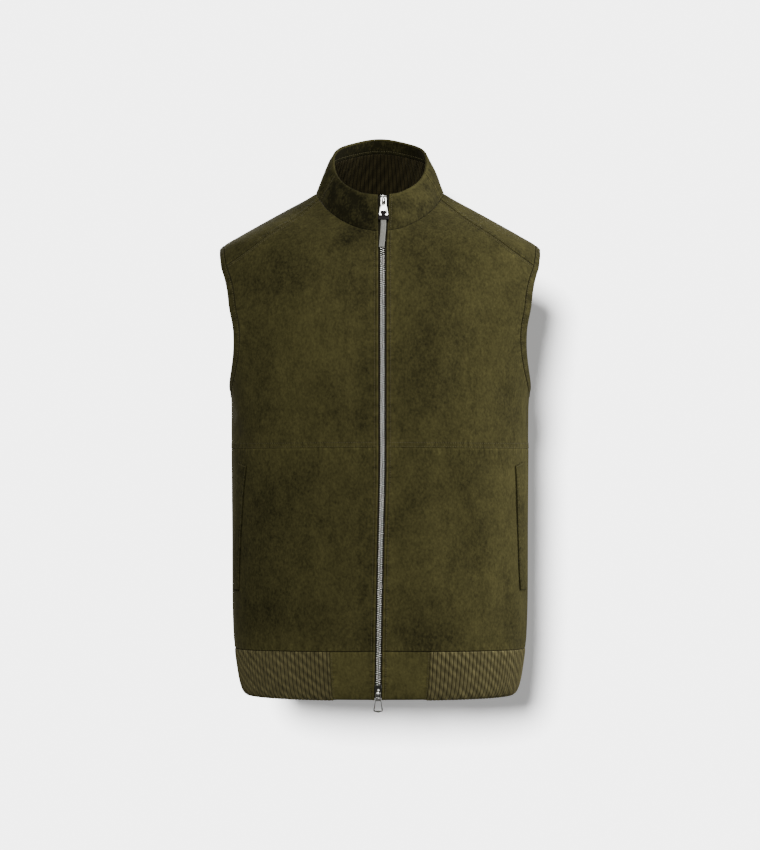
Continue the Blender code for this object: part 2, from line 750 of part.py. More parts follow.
def make_collar_front(side, name, suede):
    """Front of the outer collar, from the zip to the collar's side seam."""
    up = collar_rows()
    heights = NECK_SEAM[0].z * (1 - up) + COLLAR_RIM[0].z * up
    start = collar_turn(zip_middle(heights) + side * zip_half_gap(heights), up)
    share = np.linspace(0.0, 1.0, NECK_FRONT_COLUMNS)[None, :]
    turn = start * (1 - share) + side * SHOULDER_TURN * share
    up = up + 0.0 * turn
    if side < 0:
        turn, up = turn[:, ::-1], up[:, ::-1]
    return grid_piece(name, collar, collar_normals, turn, up, (0.0, -SUEDE_WALL), suede)


def make_collar_back(suede):
    """Back of the outer collar, from one side seam to the other."""
    turn, up = np.broadcast_arrays(neck_back_turns()[None, :], collar_rows())
    return grid_piece("collar_back", collar, collar_normals, turn, up, (0.0, -SUEDE_WALL), suede)


def lining_turns(up, columns):
    """Turns round the inner collar, from beside the left zip tape round the nape to the right one."""
    heights = NECK_SEAM[0].z * (1 - up) + COLLAR_RIM[0].z * up
    right = collar_turn(zip_middle(heights) + COLLAR_LINING_START, up)
    left = 360.0 + collar_turn(zip_middle(heights) - COLLAR_LINING_START, up)
    share = np.linspace(0.0, 1.0, columns)[None, :]
    return right * (1 - share) + left * share


def make_collar_facing(suede):
    """Suede facing inside the rim, with the outer collar's own points moved inwards."""
    turn = lining_turns(np.ones((1, 1)), FACING_COLUMNS) + np.zeros((2, 1))
    bottom = facing_bottom(turn)
    share = np.array([0.0, 1.0])[:, None]
    up = bottom * (1 - share) + share
    lift = -SUEDE_WALL - LINING_GAP
    return grid_piece("collar_facing", collar, collar_normals, turn, up, (lift, lift - FACING_WALL), suede)


def ribbed_wall(name, surface, normals, ribs, plain, lifts, finish_material):
    """A wall with ribs raised on one side over a plain other side.

    The ribbed side has two columns a rib, its foot and its crest, and the plain side one. lifts are
    the plain side's, the feet's and the crests' distances along the normals.
    """
    plain_lift, foot_lift, crest_lift = lifts
    rows, ribbed_columns = ribs[0].shape
    plain_columns = plain[0].shape[1]
    raised = np.where(np.arange(ribbed_columns) % 2 == 1, crest_lift, foot_lift)[None, :, None]
    ribbed = surface(*ribs) + normals(*ribs) * raised
    level = surface(*plain) + normals(*plain) * plain_lift
    points = np.concatenate([ribbed.reshape(-1, 3), level.reshape(-1, 3)])
    offset = rows * ribbed_columns
    faces = grid_faces(rows, ribbed_columns)
    faces += [tuple(offset + i for i in reversed(f)) for f in grid_faces(rows, plain_columns)]
    for row, flip in ((0, False), (rows - 1, True)):
        for k in range(plain_columns - 1):
            foot = row * ribbed_columns + 2 * k
            low = offset + row * plain_columns + k
            fan = [(low, foot + 1, foot), (low, low + 1, foot + 1), (low + 1, foot + 2, foot + 1)]
            faces += [tuple(reversed(f)) for f in fan] if flip else fan
    for r in range(rows - 1):
        first, above = r * ribbed_columns, (r + 1) * ribbed_columns
        low, low_above = offset + r * plain_columns, offset + (r + 1) * plain_columns
        faces.append((first, above, low_above, low))
        last, last_above = first + ribbed_columns - 1, above + ribbed_columns - 1
        end, end_above = low + plain_columns - 1, low_above + plain_columns - 1
        faces.append((last, end, end_above, last_above))
    if crest_lift < plain_lift:
        faces = [tuple(reversed(f)) for f in faces]
    return make_object(name, points, faces, finish_material)


def even_turns(surface_row, turns, pitch):
    """Turns that split a row of the surface into an even number of half ribs of equal length."""
    points = surface_row(turns)
    length = np.concatenate([[0.0], np.cumsum(np.linalg.norm(np.diff(points, axis=0), axis=1))])
    ribs = int(round(length[-1] / pitch))
    return np.interp(np.linspace(0.0, length[-1], 2 * ribs + 1), length, turns)


def make_collar_lining(knit):
    """Rib knit inside the collar, from the neck seam to the facing, its ribs towards the neck."""
    lift = -SUEDE_WALL - LINING_GAP
    fine = lining_turns(np.full((1, 1), LINING_EVEN_AT), FINE_TURNS)[0]
    turns = even_turns(lambda t: collar(t, np.full_like(t, LINING_EVEN_AT)), fine, RIB_PITCH)
    turn = turns[None, :] + np.zeros((3, 1))
    top = facing_bottom(turn) - LINING_TOP_GAP
    share = np.array([0.0, 0.5, 1.0])[:, None]
    up = LINING_FOOT * (1 - share) + top * share
    lifts = (lift, lift - RIB_WALL + RIB_HEIGHT, lift - RIB_WALL)
    plain = (turn[:, ::2], up[:, ::2])
    return ribbed_wall("collar_rib_lining", collar, collar_normals, (turn, up), plain, lifts, knit)


def make_hem_rib(knit):
    """Rib knit of the hem, from one tab round the back to the other."""
    spare = math.degrees(SEAM_GAP / 2 / TURN_RADIUS)
    fine = np.linspace(tab_end(1) + spare, 360.0 + tab_end(-1) - spare, FINE_TURNS)
    turns = even_turns(lambda t: body(t, np.full_like(t, HEM_ROWS[0])), fine, RIB_PITCH)
    rows = [np.full_like(turns, HEM_BOTTOM - HEIGHT_STEP)]
    rows += [np.full_like(turns, z) for z in reversed(HEM_ROWS)]
    rows += [hem_height(turns) - SEAM_GAP / 2]
    turn, z = turns[None, :] + np.zeros((len(rows), 1)), np.stack(rows)
    lifts = (-RIB_WALL, 0.0, RIB_HEIGHT)
    return ribbed_wall("hem_rib", body, body_normals, (turn, z), (turn[:, ::2], z[:, ::2]), lifts, knit)


def make_hem_tab(side, name, suede):
    """Suede tab between the zip and the rib of the hem."""
    top = hem_turns(side)[0]
    rows = [np.full_like(top, z) for z in (HEM_BOTTOM,) + HEM_ROWS[::-1]]
    z = np.stack(rows + [hem_height(top)])
    first = front_edge(side, z[:, 0])[:, None]
    across = np.linspace(0.0, 1.0, TAB_COLUMNS)[None, :]
    turn = first * (1 - across) + tab_end(side) * across
    if side < 0:
        turn, z = turn[:, ::-1], z[:, ::-1]
    return grid_piece(name, body, body_normals, turn, z, (0.0, -SUEDE_WALL), suede)


def make_pocket_welt(side, name, suede):
    """Welt on the lower front: its front line slants back as it goes down, its top end slants up."""
    line = smooth_curve(column(WELT_LINE, "z"), column(WELT_LINE, "left_x" if side < 0 else "right_x"))
    z = np.linspace(WELT_LINE[-1].z, WELT_LINE[0].z, WELT_ROWS)[:, None]
    share = np.linspace(0.0, 1.0, WELT_COLUMNS)[None, :]
    start = np.abs(turn_at(line(z), z))
    turn = side * (start + WELT_WIDTH_TURN * share)
    z = z + WELT_SLANT * share * (z - WELT_LINE[-1].z) / (WELT_LINE[0].z - WELT_LINE[-1].z)
    if side < 0:
        turn, z = turn[:, ::-1], z[:, ::-1]
    lifts = (SEAM_GAP + WELT_WALL, SEAM_GAP)
    return grid_piece(name, body, body_normals, turn, z, lifts, suede, gap=0.0)


def front_strip(name, low_x, high_x, z, lifts, finish_material):
    """A strip along the zip: columns of x beside its middle, rows of z, between two lifts."""
    columns = np.linspace(low_x, high_x, STRIP_COLUMNS)[None, :]
    x = zip_middle(z)[:, None] + columns
    rows = z[:, None] + 0.0 * x
    outer = front_surface(x, rows, np.full_like(x, lifts[0])).reshape(-1, 3)
    inner = front_surface(x, rows, np.full_like(x, lifts[1])).reshape(-1, 3)
    count = len(outer)
    faces = grid_faces(len(z), STRIP_COLUMNS)
    loop = grid_loop(len(z), STRIP_COLUMNS)
    walls = [(i, i + count, j + count, j) for i, j in zip(loop, np.roll(loop, -1))]
    under = [tuple(i + count for i in reversed(f)) for f in faces]
    return make_object(name, np.concatenate([outer, inner]), faces + under + walls, finish_material)


def zip_rows(low, high):
    """Heights of the rows along the zip, closer together where the front curves, at hem and neck."""
    hem_rows = steps_between(low, ZIP_EVEN_FROM, ZIP_FINE_STEP)
    body_rows = steps_between(ZIP_EVEN_FROM, ZIP_EVEN_TO)
    neck_rows = steps_between(ZIP_EVEN_TO, high, ZIP_FINE_STEP)
    return np.concatenate([hem_rows, body_rows[1:], neck_rows[1:]])


def make_zip_strips(tape, metal):
    """Both tapes, behind the front edges, and the closed chain of teeth between the sliders."""
    rows = zip_rows(HEM_BOTTOM + HEIGHT_STEP, COLLAR_RIM[0].z - ZIP_TOP_GAP)
    back = -SUEDE_WALL - TAPE_GAP
    lifts = (back, back - TAPE_WALL)
    front_strip("zip_tape_right", TAPE_INNER, TAPE_OUTER, rows, lifts, tape)
    front_strip("zip_tape_left", -TAPE_OUTER, -TAPE_INNER, rows, lifts, tape)
    reach = SLIDER_LENGTH / 2 + SEAM_GAP
    chain_rows = zip_rows(BOTTOM_SLIDER_Z + reach, TOP_SLIDER_Z - reach)
    front_strip("zip_chain", -CHAIN_HALF_WIDTH, CHAIN_HALF_WIDTH, chain_rows,
                (CHAIN_FRONT, CHAIN_BACK), metal)


def zip_frame(z):
    """Local frame on the zip at a height: X across, Y into the garment and Z up along the front."""
    x = float(zip_middle(z))
    here = front_surface(x, z, 0.0)
    above, below = z + CHAIN_HALF_WIDTH, z - CHAIN_HALF_WIDTH
    up = front_surface(float(zip_middle(above)), above, 0.0)
    down = front_surface(float(zip_middle(below)), below, 0.0)
    along = Vector(up - down).normalized()
    across = Vector((1.0, 0.0, 0.0))
    inward = along.cross(across).normalized()
    across = inward.cross(along).normalized()
    turned = Matrix((across, inward, along)).transposed().to_4x4()
    return Matrix.Translation(Vector(here) * MM) @ turned


def extruded(name, outline, holes, low, high):
    """A plate in the local XZ plane with holes, from y = low to y = high."""
    flat = [Vector(p) for p in outline]
    edges = [(i, (i + 1) % len(outline)) for i in range(len(outline))]
    for hole in holes:
        start = len(flat)
        flat += [Vector(p) for p in hole]
        edges += [(start + i, start + (i + 1) % len(hole)) for i in range(len(hole))]
    made = delaunay_2d_cdt(flat, edges, [], 1, 1e-6)
    points = np.array([tuple(p) for p in made[0]])
    middles = {tuple(f): points[list(f)].mean(axis=0) for f in made[2]}
    kept = [f for f, middle in middles.items()
            if not any(inside_outline(middle[None, :], np.array(h))[0] for h in holes)]
    count = len(points)
    front = np.stack([points[:, 0], np.full(count, low), points[:, 1]], axis=1)
    back = np.stack([points[:, 0], np.full(count, high), points[:, 1]], axis=1)
    used = {(i, j) for face in kept for i, j in zip(face, face[1:] + face[:1])}
    rim = sorted((i, j) for i, j in used if (j, i) not in used)
    faces = kept + [tuple(i + count for i in reversed(f)) for f in kept]
    faces += [(i, i + count, j + count, j) for i, j in rim]
    return mesh_of(name, np.concatenate([front, back]), faces)


def slider_mesh(name):
    """Slider without its bail: front and back plates on a narrow web, rounded at both ends."""
    front = -SLIDER_PLATE_BASE - SLIDER_PLATE
    profile = []
    for row in SLIDER_FORM:
        wide = row.half_width
        ring = [(-wide, front), (wide, front), (wide, -SLIDER_PLATE_BASE), (SLIDER_WEB, -SLIDER_PLATE_BASE),
                (SLIDER_WEB, -SLIDER_BACK), (wide, -SLIDER_BACK), (wide, -SLIDER_BACK + SLIDER_PLATE),
                (-wide, -SLIDER_BACK + SLIDER_PLATE), (-wide, -SLIDER_BACK), (-SLIDER_WEB, -SLIDER_BACK),
                (-SLIDER_WEB, -SLIDER_PLATE_BASE), (-wide, -SLIDER_PLATE_BASE)]
        profile += [(x, y, row.along) for x, y in ring]
    size = len(profile) // len(SLIDER_FORM)
    faces = grid_faces(len(SLIDER_FORM), size, closed=True)
    last = (len(SLIDER_FORM) - 1) * size
    plates = ((0, 1, 2, 3, 10, 11), (4, 5, 6, 7, 8, 9), (3, 4, 9, 10))
    faces += [tuple(reversed(f)) for f in plates]
    faces += [tuple(last + i for i in f) for f in plates]
    return mesh_of(name, profile, faces)


def side_prism(name, profile, ends, half_width):
    """A piece drawn from the side: a closed profile of (y, z), carried across from -X to +X.

    ends are the faces that fill the profile, since a bent one can't be filled by one face.
    """
    count = len(profile)
    points = [(x, y, z) for x in (-half_width, half_width) for y, z in profile]
    faces = list(ends) + [tuple(count + i for i in reversed(f)) for f in ends]
    faces += [(k, count + k, count + (k + 1) % count, (k + 1) % count) for k in range(count)]
    mesh = mesh_of(name, points, faces)
    shape = bmesh.new()
    shape.from_mesh(mesh)
    bmesh.ops.recalc_face_normals(shape, faces=shape.faces)
    shape.to_mesh(mesh)
    shape.free()
    return mesh


def bail_side(radius, foot, way):
    """One edge of the bail from the side: a leg, a half ring round the pin and the other leg."""
    arc = np.linspace(0.0, np.pi, BAIL_STEPS)
    crown = [(-PIN_OFFSET - radius * math.sin(a) * BAIL_FLATNESS, way * radius * math.cos(a)) for a in arc]
    return [(foot, way * radius)] + crown + [(foot, -way * radius)]


def bail_mesh(name, axis_z):
    """Arch over the pull tab's pin: a half ring and two legs down into the slider's front plate."""
    foot = -SLIDER_PLATE_BASE - SLIDER_PLATE / 2
    outer, inner = bail_side(BAIL_RADIUS, foot, 1), bail_side(BAIL_BORE, foot, -1)
    ring = [(y, axis_z + z) for y, z in outer + inner]
    last = len(ring) - 1
    ends = [(k, k + 1, last - 1 - k, last - k) for k in range(len(outer) - 1)]
    return side_prism(name, ring, ends, BAIL_HALF_WIDTH)


def join_helper(made, helper):
    """Join a helper to a piece by a union, and hide the helper itself."""
    helper.hide_render = True
    helper.display_type = "WIRE"
    join = made.modifiers.new("join", "BOOLEAN")
    join.operation = "UNION"
    join.solver = "EXACT"
    join.object = helper


def make_slider(name, z, pin_z, metal):
    """A slider with its bail joined to it."""
    frame = zip_frame(z)
    made = placed(name, slider_mesh(name), frame, metal)
    join_helper(made, placed(name + "_arch", bail_mesh(name + "_arch", pin_z), frame, metal))
    return frame


def tab_mesh(name, tab):
    """Pull tab hanging from its pin at the local origin: tapered plate, bail slot and lower slot."""
    right = [(tab.bottom_half - TAB_CORNER_IN, -tab.length),
             (tab.bottom_half, -tab.length + TAB_CORNER_UP), (tab.top_half, -tab.eye),
             (tab.top_half, TAB_PIN_HALF)]
    outline = [(-x, z) for x, z in reversed(right)] + right
    reach = BAIL_HALF_WIDTH + EYE_SIDE_GAP
    eye = [(-reach, -tab.eye), (reach, -tab.eye), (reach, -TAB_PIN_HALF), (-reach, -TAB_PIN_HALF)]
    slot = [(-tab.slot_half, -tab.slot_low), (tab.slot_half, -tab.slot_low),
            (tab.slot_half, -tab.slot_high), (-tab.slot_half, -tab.slot_high)]
    return extruded(name, outline, [eye, slot], -TAB_PLATE / 2, TAB_PLATE / 2)


def box_mesh(name, low, high):
    """A plain block between two corners, in local millimetres."""
    corners = [(x, y, z) for z in (low[2], high[2]) for y in (low[1], high[1]) for x in (low[0], high[0])]
    faces = [(0, 2, 3, 1), (4, 5, 7, 6), (0, 1, 5, 4), (2, 6, 7, 3), (0, 4, 6, 2), (1, 3, 7, 5)]
    return mesh_of(name, corners, faces)


def pin_frame(slider_frame, pin_z, lean):
    """Frame of a pull tab: at its pin in front of the slider, leaning by an angle about the pin."""
    at = slider_frame @ Matrix.Translation(Vector((0.0, -PIN_OFFSET, pin_z)) * MM)
    place = at.to_translation()
    return Matrix.Translation(place) @ Matrix.Rotation(lean, 4, "X")


def make_top_pull(slider_frame, metal, leather, strap):
    """Top tab with its leather loop and woven strap, all hanging along the chest."""
    low_z = TOP_SLIDER_Z + TOP_PIN_UP - STRAP_END_DROP
    pin = pin_frame(slider_frame, TOP_PIN_UP, 0.0).to_translation()
    end = Vector(front_surface(float(zip_middle(low_z)), low_z, STRAP_END_LIFT)) * MM
    hang = end - pin
    lean = math.atan2(-hang.y, -hang.z)
    frame = pin_frame(slider_frame, TOP_PIN_UP, -lean)
    placed("top_pull_tab", tab_mesh("top_pull_tab", TOP_TAB), frame, metal)
    thin, thick = TAB_PLATE / 2 + SEAM_GAP, LOOP_THICKNESS / 2
    top = -TOP_TAB.slot_low + LOOP_RISE
    under_bar = -TOP_TAB.length - SEAM_GAP
    foot = under_bar - LOOP_FOOT
    profile = [(-thick, top), (-thin, top), (-thin, under_bar), (thin, under_bar), (thin, top),
               (thick, top), (thick, foot), (-thick, foot)]
    ends = [(0, 1, 2, 7), (2, 3, 6, 7), (3, 4, 5, 6)]
    loop = side_prism("top_pull_loop", profile, ends, TOP_TAB.slot_half - LOOP_SIDE_GAP)
    high, bend, end_z = (under_bar - drop for drop in (BAND_DROP, BAND_BEND, BAND_REACH))
    half = BAND_THICKNESS / 2
    profile = [(-half, high), (half, high), (half, bend), (BAND_END_HALF, end_z),
               (-BAND_END_HALF, end_z), (-half, bend)]
    band = side_prism("top_pull_loop_band", profile, [(0, 1, 2, 5), (2, 3, 4, 5)], BAND_HALF_WIDTH)
    join_helper(placed("top_pull_loop", loop, frame, leather),
                placed("top_pull_loop_band", band, frame, leather))
    strap_top = end_z - SEAM_GAP
    low = (-STRAP_HALF_WIDTH, -STRAP_THICKNESS / 2, strap_top - STRAP_LENGTH)
    high = (STRAP_HALF_WIDTH, STRAP_THICKNESS / 2, strap_top)
    placed("top_pull_strap", box_mesh("top_pull_strap", low, high), frame, strap)


def build():
    """Make every piece of the gilet."""
    clear_scene()
    suede = material("olive_suede", SUEDE)
    knit = material("olive_rib_knit", RIB_KNIT)
    lining = material("inner_rib_knit", LINING_KNIT)
    tape = material("zip_tape", TAPE)
    metal = material("zip_metal", METAL)
    for side, word in ((-1, "left"), (1, "right")):
        make_upper_front(side, f"front_{word}_upper", suede)
        make_lower_front(side, f"front_{word}_lower", suede)
        make_armhole_band(side, f"armhole_band_{word}", suede)
        make_collar_front(side, f"collar_front_{word}", suede)
        make_hem_tab(side, f"hem_tab_{word}", suede)
        make_pocket_welt(side, f"pocket_welt_{word}", suede)
    make_back(suede)
    make_collar_back(suede)
    make_collar_facing(suede)
    make_collar_lining(lining)
    make_hem_rib(knit)
    make_zip_strips(tape, metal)
    top_frame = make_slider("top_slider", TOP_SLIDER_Z, TOP_PIN_UP, metal)
    bottom_frame = make_slider("bottom_slider", BOTTOM_SLIDER_Z, BOTTOM_PIN_UP, metal)
    make_top_pull(top_frame, metal, material("loop_leather", LEATHER), material("strap_weave", STRAP))
    placed("bottom_pull_tab", tab_mesh("bottom_pull_tab", BOTTOM_TAB),
           pin_frame(bottom_frame, BOTTOM_PIN_UP, 0.0), metal)


build()
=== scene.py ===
"""Looks of a sleeveless suede gilet: suede panels, rib knit, zip, sliders, pull tabs and stitching.

The garment surface is the one that the solids were made from, with finer creases laid on it. Tables
are in millimetres and degrees; meshes are metres, +Z up, front towards -Y, viewer's left towards -X.
"""
from __future__ import annotations

import logging
import math
from dataclasses import dataclass
from enum import Enum
from typing import Callable

import bmesh
import bpy
import numpy as np
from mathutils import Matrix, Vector
from mathutils.geometry import delaunay_2d_cdt

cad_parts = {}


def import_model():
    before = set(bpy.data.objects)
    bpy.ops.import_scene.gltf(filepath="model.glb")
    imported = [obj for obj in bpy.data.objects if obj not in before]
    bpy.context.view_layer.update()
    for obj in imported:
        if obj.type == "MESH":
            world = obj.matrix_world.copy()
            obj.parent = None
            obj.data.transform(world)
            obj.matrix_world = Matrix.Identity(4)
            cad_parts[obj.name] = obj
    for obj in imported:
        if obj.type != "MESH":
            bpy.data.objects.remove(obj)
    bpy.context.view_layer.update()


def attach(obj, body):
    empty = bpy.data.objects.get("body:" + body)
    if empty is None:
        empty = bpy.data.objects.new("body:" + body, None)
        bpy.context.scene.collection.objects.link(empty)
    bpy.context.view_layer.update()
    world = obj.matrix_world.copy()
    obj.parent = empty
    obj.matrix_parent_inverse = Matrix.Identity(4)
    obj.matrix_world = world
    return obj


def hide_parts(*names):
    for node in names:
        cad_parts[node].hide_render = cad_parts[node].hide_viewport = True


LOG = logging.getLogger("gilet")
Array = np.ndarray
MM = 0.001
SIDES = {-1: "left", 1: "right"}
RIMS = (np.s_[0], np.s_[-1], np.s_[:, 0], np.s_[:, -1])
NO_ROW = -10.0
FAR = 20.0
FREE_EDGE = 30.0
RUN_STEP = 700.0


@dataclass(frozen=True)
class Section:
    """One horizontal section of the body."""

    z: float
    half_width: float
    front_depth: float
    back_depth: float
    squareness: float


@dataclass(frozen=True)
class Soft:
    """A soft oval patch on the body: a trough or ridge in the cloth, or a patch of darker or lighter nap,
    some of them painted shade and painted light.
    """

    turn: float
    z: float
    half_length: float
    half_width: float
    tilt: float
    height: float


def soft_rows(*rows: tuple[float, ...]) -> tuple[Soft, ...]:
    """Soft patches from rows of their six numbers."""
    return tuple(Soft(*row) for row in rows)


@dataclass(frozen=True)
class ZipRow:
    """Middle of the zip at a height, and half the gap between the front edges."""

    z: float
    middle: float
    half_gap: float


@dataclass(frozen=True)
class Ring:
    """An armhole ring: half its turn, and its reach above and below the armhole's middle."""

    half_turn: float
    rise: float
    drop: float


BODY_SECTIONS = tuple(Section(*row) for row in (
    (8, 76.0, 22.0, 63.0, 2.20), (4, 84.0, 27.0, 67.0, 2.20), (-4, 97.5, 35.0, 72.5, 2.20),
    (-17, 121.5, 52.0, 80.0, 2.20), (-30, 145.0, 69.0, 87.0, 2.25), (-43, 168.0, 84.0, 94.0, 2.30),
    (-51, 182.0, 92.0, 98.0, 2.30), (-66, 206.0, 100.5, 104.0, 2.35), (-84, 219.0, 107.5, 110.0, 2.40),
    (-100, 224.0, 113.0, 116.0, 2.40), (-140, 223.0, 124.0, 124.0, 2.40), (-180, 214.0, 131.0, 129.0, 2.40),
    (-210, 206.0, 133.5, 129.5, 2.40), (-236, 200.0, 135.0, 129.0, 2.40), (-264, 195.6, 135.5, 127.0, 2.40),
    (-330, 194.5, 135.5, 121.0, 2.40), (-420, 194.0, 133.5, 116.0, 2.40), (-520, 193.3, 130.0, 117.0, 2.40),
    (-575, 191.5, 128.0, 119.5, 2.40), (-590, 189.5, 127.0, 119.0, 2.40), (-612, 186.5, 125.0, 117.0, 2.40),
    (-632, 183.0, 122.0, 114.0, 2.40), (-645, 178.5, 119.0, 110.0, 2.40), (-651, 172.0, 115.0, 104.0, 2.40),
))

# The solids' largest folds
FOLDS = soft_rows(
    (34, -190, 95, 26, 72, -2.6), (-38, -210, 105, 28, 106, -3.0), (-22, -400, 90, 30, 82, -2.4),
    (27, -430, 100, 30, 98, -2.6), (50, -545, 60, 24, 60, -2.4), (-48, -540, 65, 24, 118, -2.8),
    (-70, -300, 60, 22, 150, -3.0), (72, -310, 62, 22, 32, -2.6), (150, -180, 110, 30, 80, -3.0),
    (208, -200, 115, 32, 98, -3.2), (176, -440, 120, 34, 90, -2.6), (118, -420, 90, 28, 104, -3.0),
    (240, -400, 95, 28, 78, -2.8),
)

# Finer creases, fading out beside the zip
CREASES = soft_rows(
    (-52, -262, 42, 9, 34, -1.5), (-64, -286, 34, 8, 20, 1.1), (-58, -330, 30, 6, 8, -1.1),
    (-40, -338, 22, 7, -24, -0.9), (-30, -150, 50, 13, 128, -1.0), (-44, -120, 38, 11, 70, -1.2),
    (-18, -245, 60, 14, 100, 0.9), (-33, -470, 46, 12, 66, -1.1), (-55, -500, 52, 11, 84, 1.2),
    (-60, -566, 30, 9, 12, -1.4), (-36, -572, 26, 8, 150, -1.0), (-15, -560, 30, 9, 30, 0.8),
    (-24, -88, 30, 9, 30, -0.9), (52, -262, 40, 9, 146, -1.3), (66, -290, 32, 8, 158, 1.1),
    (40, -150, 48, 13, 60, -1.0), (22, -230, 62, 15, 86, 0.9), (44, -350, 30, 8, 170, -1.0),
    (36, -480, 52, 12, 104, -1.1), (58, -470, 50, 11, 92, 1.1), (60, -562, 32, 9, 160, -1.3),
    (24, -566, 28, 8, 40, -0.9), (14, -505, 34, 10, 70, 0.7), (26, -86, 28, 9, 150, -0.8),
    (86, -400, 60, 10, 86, -1.4), (-86, -420, 66, 10, 95, -1.5), (100, -300, 46, 9, 20, -1.6),
    (112, -275, 40, 9, 40, 1.3), (-102, -302, 44, 9, 160, -1.5), (-116, -270, 38, 9, 142, 1.2),
    (135, -150, 60, 12, 60, -1.3), (-136, -160, 64, 12, 122, -1.4), (165, -120, 50, 12, 20, -1.0),
    (196, -112, 54, 12, 165, -1.1), (178, -300, 70, 14, 88, 1.1), (150, -380, 60, 12, 70, -1.2),
    (212, -370, 58, 12, 106, -1.2), (140, -545, 44, 10, 30, -1.3), (170, -560, 36, 9, 170, -1.1),
    (200, -540, 46, 10, 150, -1.3), (232, -560, 34, 9, 15, -1.2), (6, -612, 16, 4, 28, 0.5),
    (5, -622, 14, 3, -20, -0.6), (-7, -616, 15, 4, 150, -0.5), (14, -606, 18, 5, 10, -0.6),
    (-15, -628, 16, 5, 165, -0.6),
)

# Patches of darker and lighter nap, positive is darker: partly the suede's own mottle, partly painted shade
# under the left front of the collar and towards the left side, where less light falls, and painted light on
# the shoulder tops, which catch light from above
NAP_AND_SHADE_PATCHES = soft_rows(
    (-38, -112, 62, 36, 76, 0.55), (-47, -200, 66, 30, 96, 0.45), (-12, -58, 26, 18, 10, 1.20),
    (-19, -142, 40, 26, 60, -0.50), (-30, -262, 50, 24, 30, 0.25), (-12, -210, 60, 20, 90, -0.30),
    (-35, -385, 48, 30, 64, 0.55), (-20, -450, 56, 22, 88, -0.25), (-47, -538, 56, 38, 30, 1.00),
    (-24, -560, 44, 24, 10, 0.40), (-62, -430, 70, 20, 90, 0.30), (33, -352, 42, 26, 20, 0.40),
    (22, -556, 44, 28, 40, 0.70), (40, -130, 60, 34, 110, -0.25), (18, -180, 66, 24, 90, 0.15),
    (46, -450, 70, 30, 84, -0.25), (54, -560, 40, 24, 20, 0.25), (150, -130, 70, 40, 40, 0.45),
    (205, -250, 80, 40, 100, 0.40), (176, -420, 90, 46, 80, -0.40), (140, -500, 70, 36, 60, 0.45),
    (228, -520, 70, 36, 120, 0.40), (190, -110, 50, 30, 10, -0.35), (-54, -36, 60, 20, 20, -1.20),
    (54, -36, 60, 20, 160, -0.60), (20, -390, 30, 24, 30, 0.35), (24, -580, 44, 20, 10, 0.40),
    (53, -240, 100, 26, 90, 0.42), (-5.5, -250, 150, 9, 90, 0.45), (-5.5, -490, 100, 9, 90, 0.60),
    (4.0, -330, 270, 7, 90, -0.40),
)

NECK_SEAM = ((0, -51.0), (17, -46.5), (32, -37.8), (44, -28.4), (56, -17.7), (67, -6.6), (80, 1.0),
             (90, 4.0), (135, 4.0), (180, 3.0))
# The row past the nape makes the rim level there
COLLAR_RIM = ((0, -1.8), (20, 1.0), (36, 7.4), (53, 17.1), (70, 30.5), (82, 42.5), (100, 59.0),
              (135, 73.0), (180, 82.0), (225, 73.0))
ZIP_LINE = tuple(ZipRow(*row) for row in (
    (6, 4.6, 7.6), (-30, 4.0, 6.2), (-76, 3.0, 4.9), (-338, 3.0, 4.7), (-440, 1.0, 4.4), (-540, -1.0, 4.2),
    (-655, -2.6, 4.3),
))
SHOULDER_SEAM = ((107.4, -29.3), (145.4, -55.0), (172.3, -75.0))
LEFT_WELT = ((-351, 170.7), (-381, 174.0), (-415, 176.5), (-470, 180.0), (-512, 181.2))
RIGHT_WELT = ((-351, 174.0), (-381, 174.8), (-415, 175.6), (-470, 177.8), (-512, 180.6))


class Curve:
    """A curve through values with no overshoot: cubic pieces whose slopes are harmonic means."""

    def __init__(self, places: list[float], values: list[float]) -> None:
        """Work out the slope at each place from the steps beside it."""
        order = np.argsort(places)
        self.places = np.asarray(places, float)[order]
        self.values = np.asarray(values, float)[order]
        self.steps = np.diff(self.places)
        slopes = np.diff(self.values) / self.steps
        self.ends = np.zeros(len(self.places))
        same_way = slopes[:-1] * slopes[1:] > 0
        left, right = slopes[:-1][same_way], slopes[1:][same_way]
        self.ends[1:-1][same_way] = 2 * left * right / (left + right)
        self.ends[0], self.ends[-1] = slopes[0], slopes[-1]

    def __call__(self, at: Array | float) -> Array:
        """Values at the places, held level past the ends."""
        at = np.clip(np.asarray(at, float), self.places[0], self.places[-1])
        k = np.clip(np.searchsorted(self.places, at) - 1, 0, len(self.steps) - 1)
        t = (at - self.places[k]) / self.steps[k]
        rise = self.values[k + 1] - self.values[k]
        bend, bend_end = self.steps[k] * self.ends[k], self.steps[k] * self.ends[k + 1]
        return (self.values[k] + bend * t + (3 * rise - 2 * bend - bend_end) * t ** 2
                + (bend + bend_end - 2 * rise) * t ** 3)


def pairs_curve(pairs: tuple[tuple[float, float], ...]) -> Curve:
    """A curve from a table of pairs."""
    return Curve([a for a, _ in pairs], [b for _, b in pairs])


def wrapped(turn: Array, middle: float) -> Array:
    """How far each turn lies from the middle, from -180 to 180 degrees."""
    return (turn - middle + 180.0) % 360.0 - 180.0


def smooth_step(value: Array, low: float, high: float) -> Array:
    """0 below low and 1 above high, with the cubic 3t^2 - 2t^3 between."""
    t = np.clip((value - low) / (high - low), 0.0, 1.0)
    return t * t * (3.0 - 2.0 * t)


def unit(vectors: Array) -> Array:
    """Vectors divided by their lengths."""
    return vectors / np.maximum(np.linalg.norm(vectors, axis=-1, keepdims=True), 1e-9)


def run_of(points: Array) -> Array:
    """Length run so far at each point of a line, or down each column of a grid."""
    steps = np.linalg.norm(np.diff(points, axis=0), axis=-1)
    return np.concatenate([np.zeros_like(steps[:1]), np.cumsum(steps, axis=0)])


def carried(at: Array, run: Array, values: Array) -> Array:
    """Rows of three values read off linearly at places along a run."""
    return np.stack([np.interp(at, run, values[:, k]) for k in range(3)], -1)


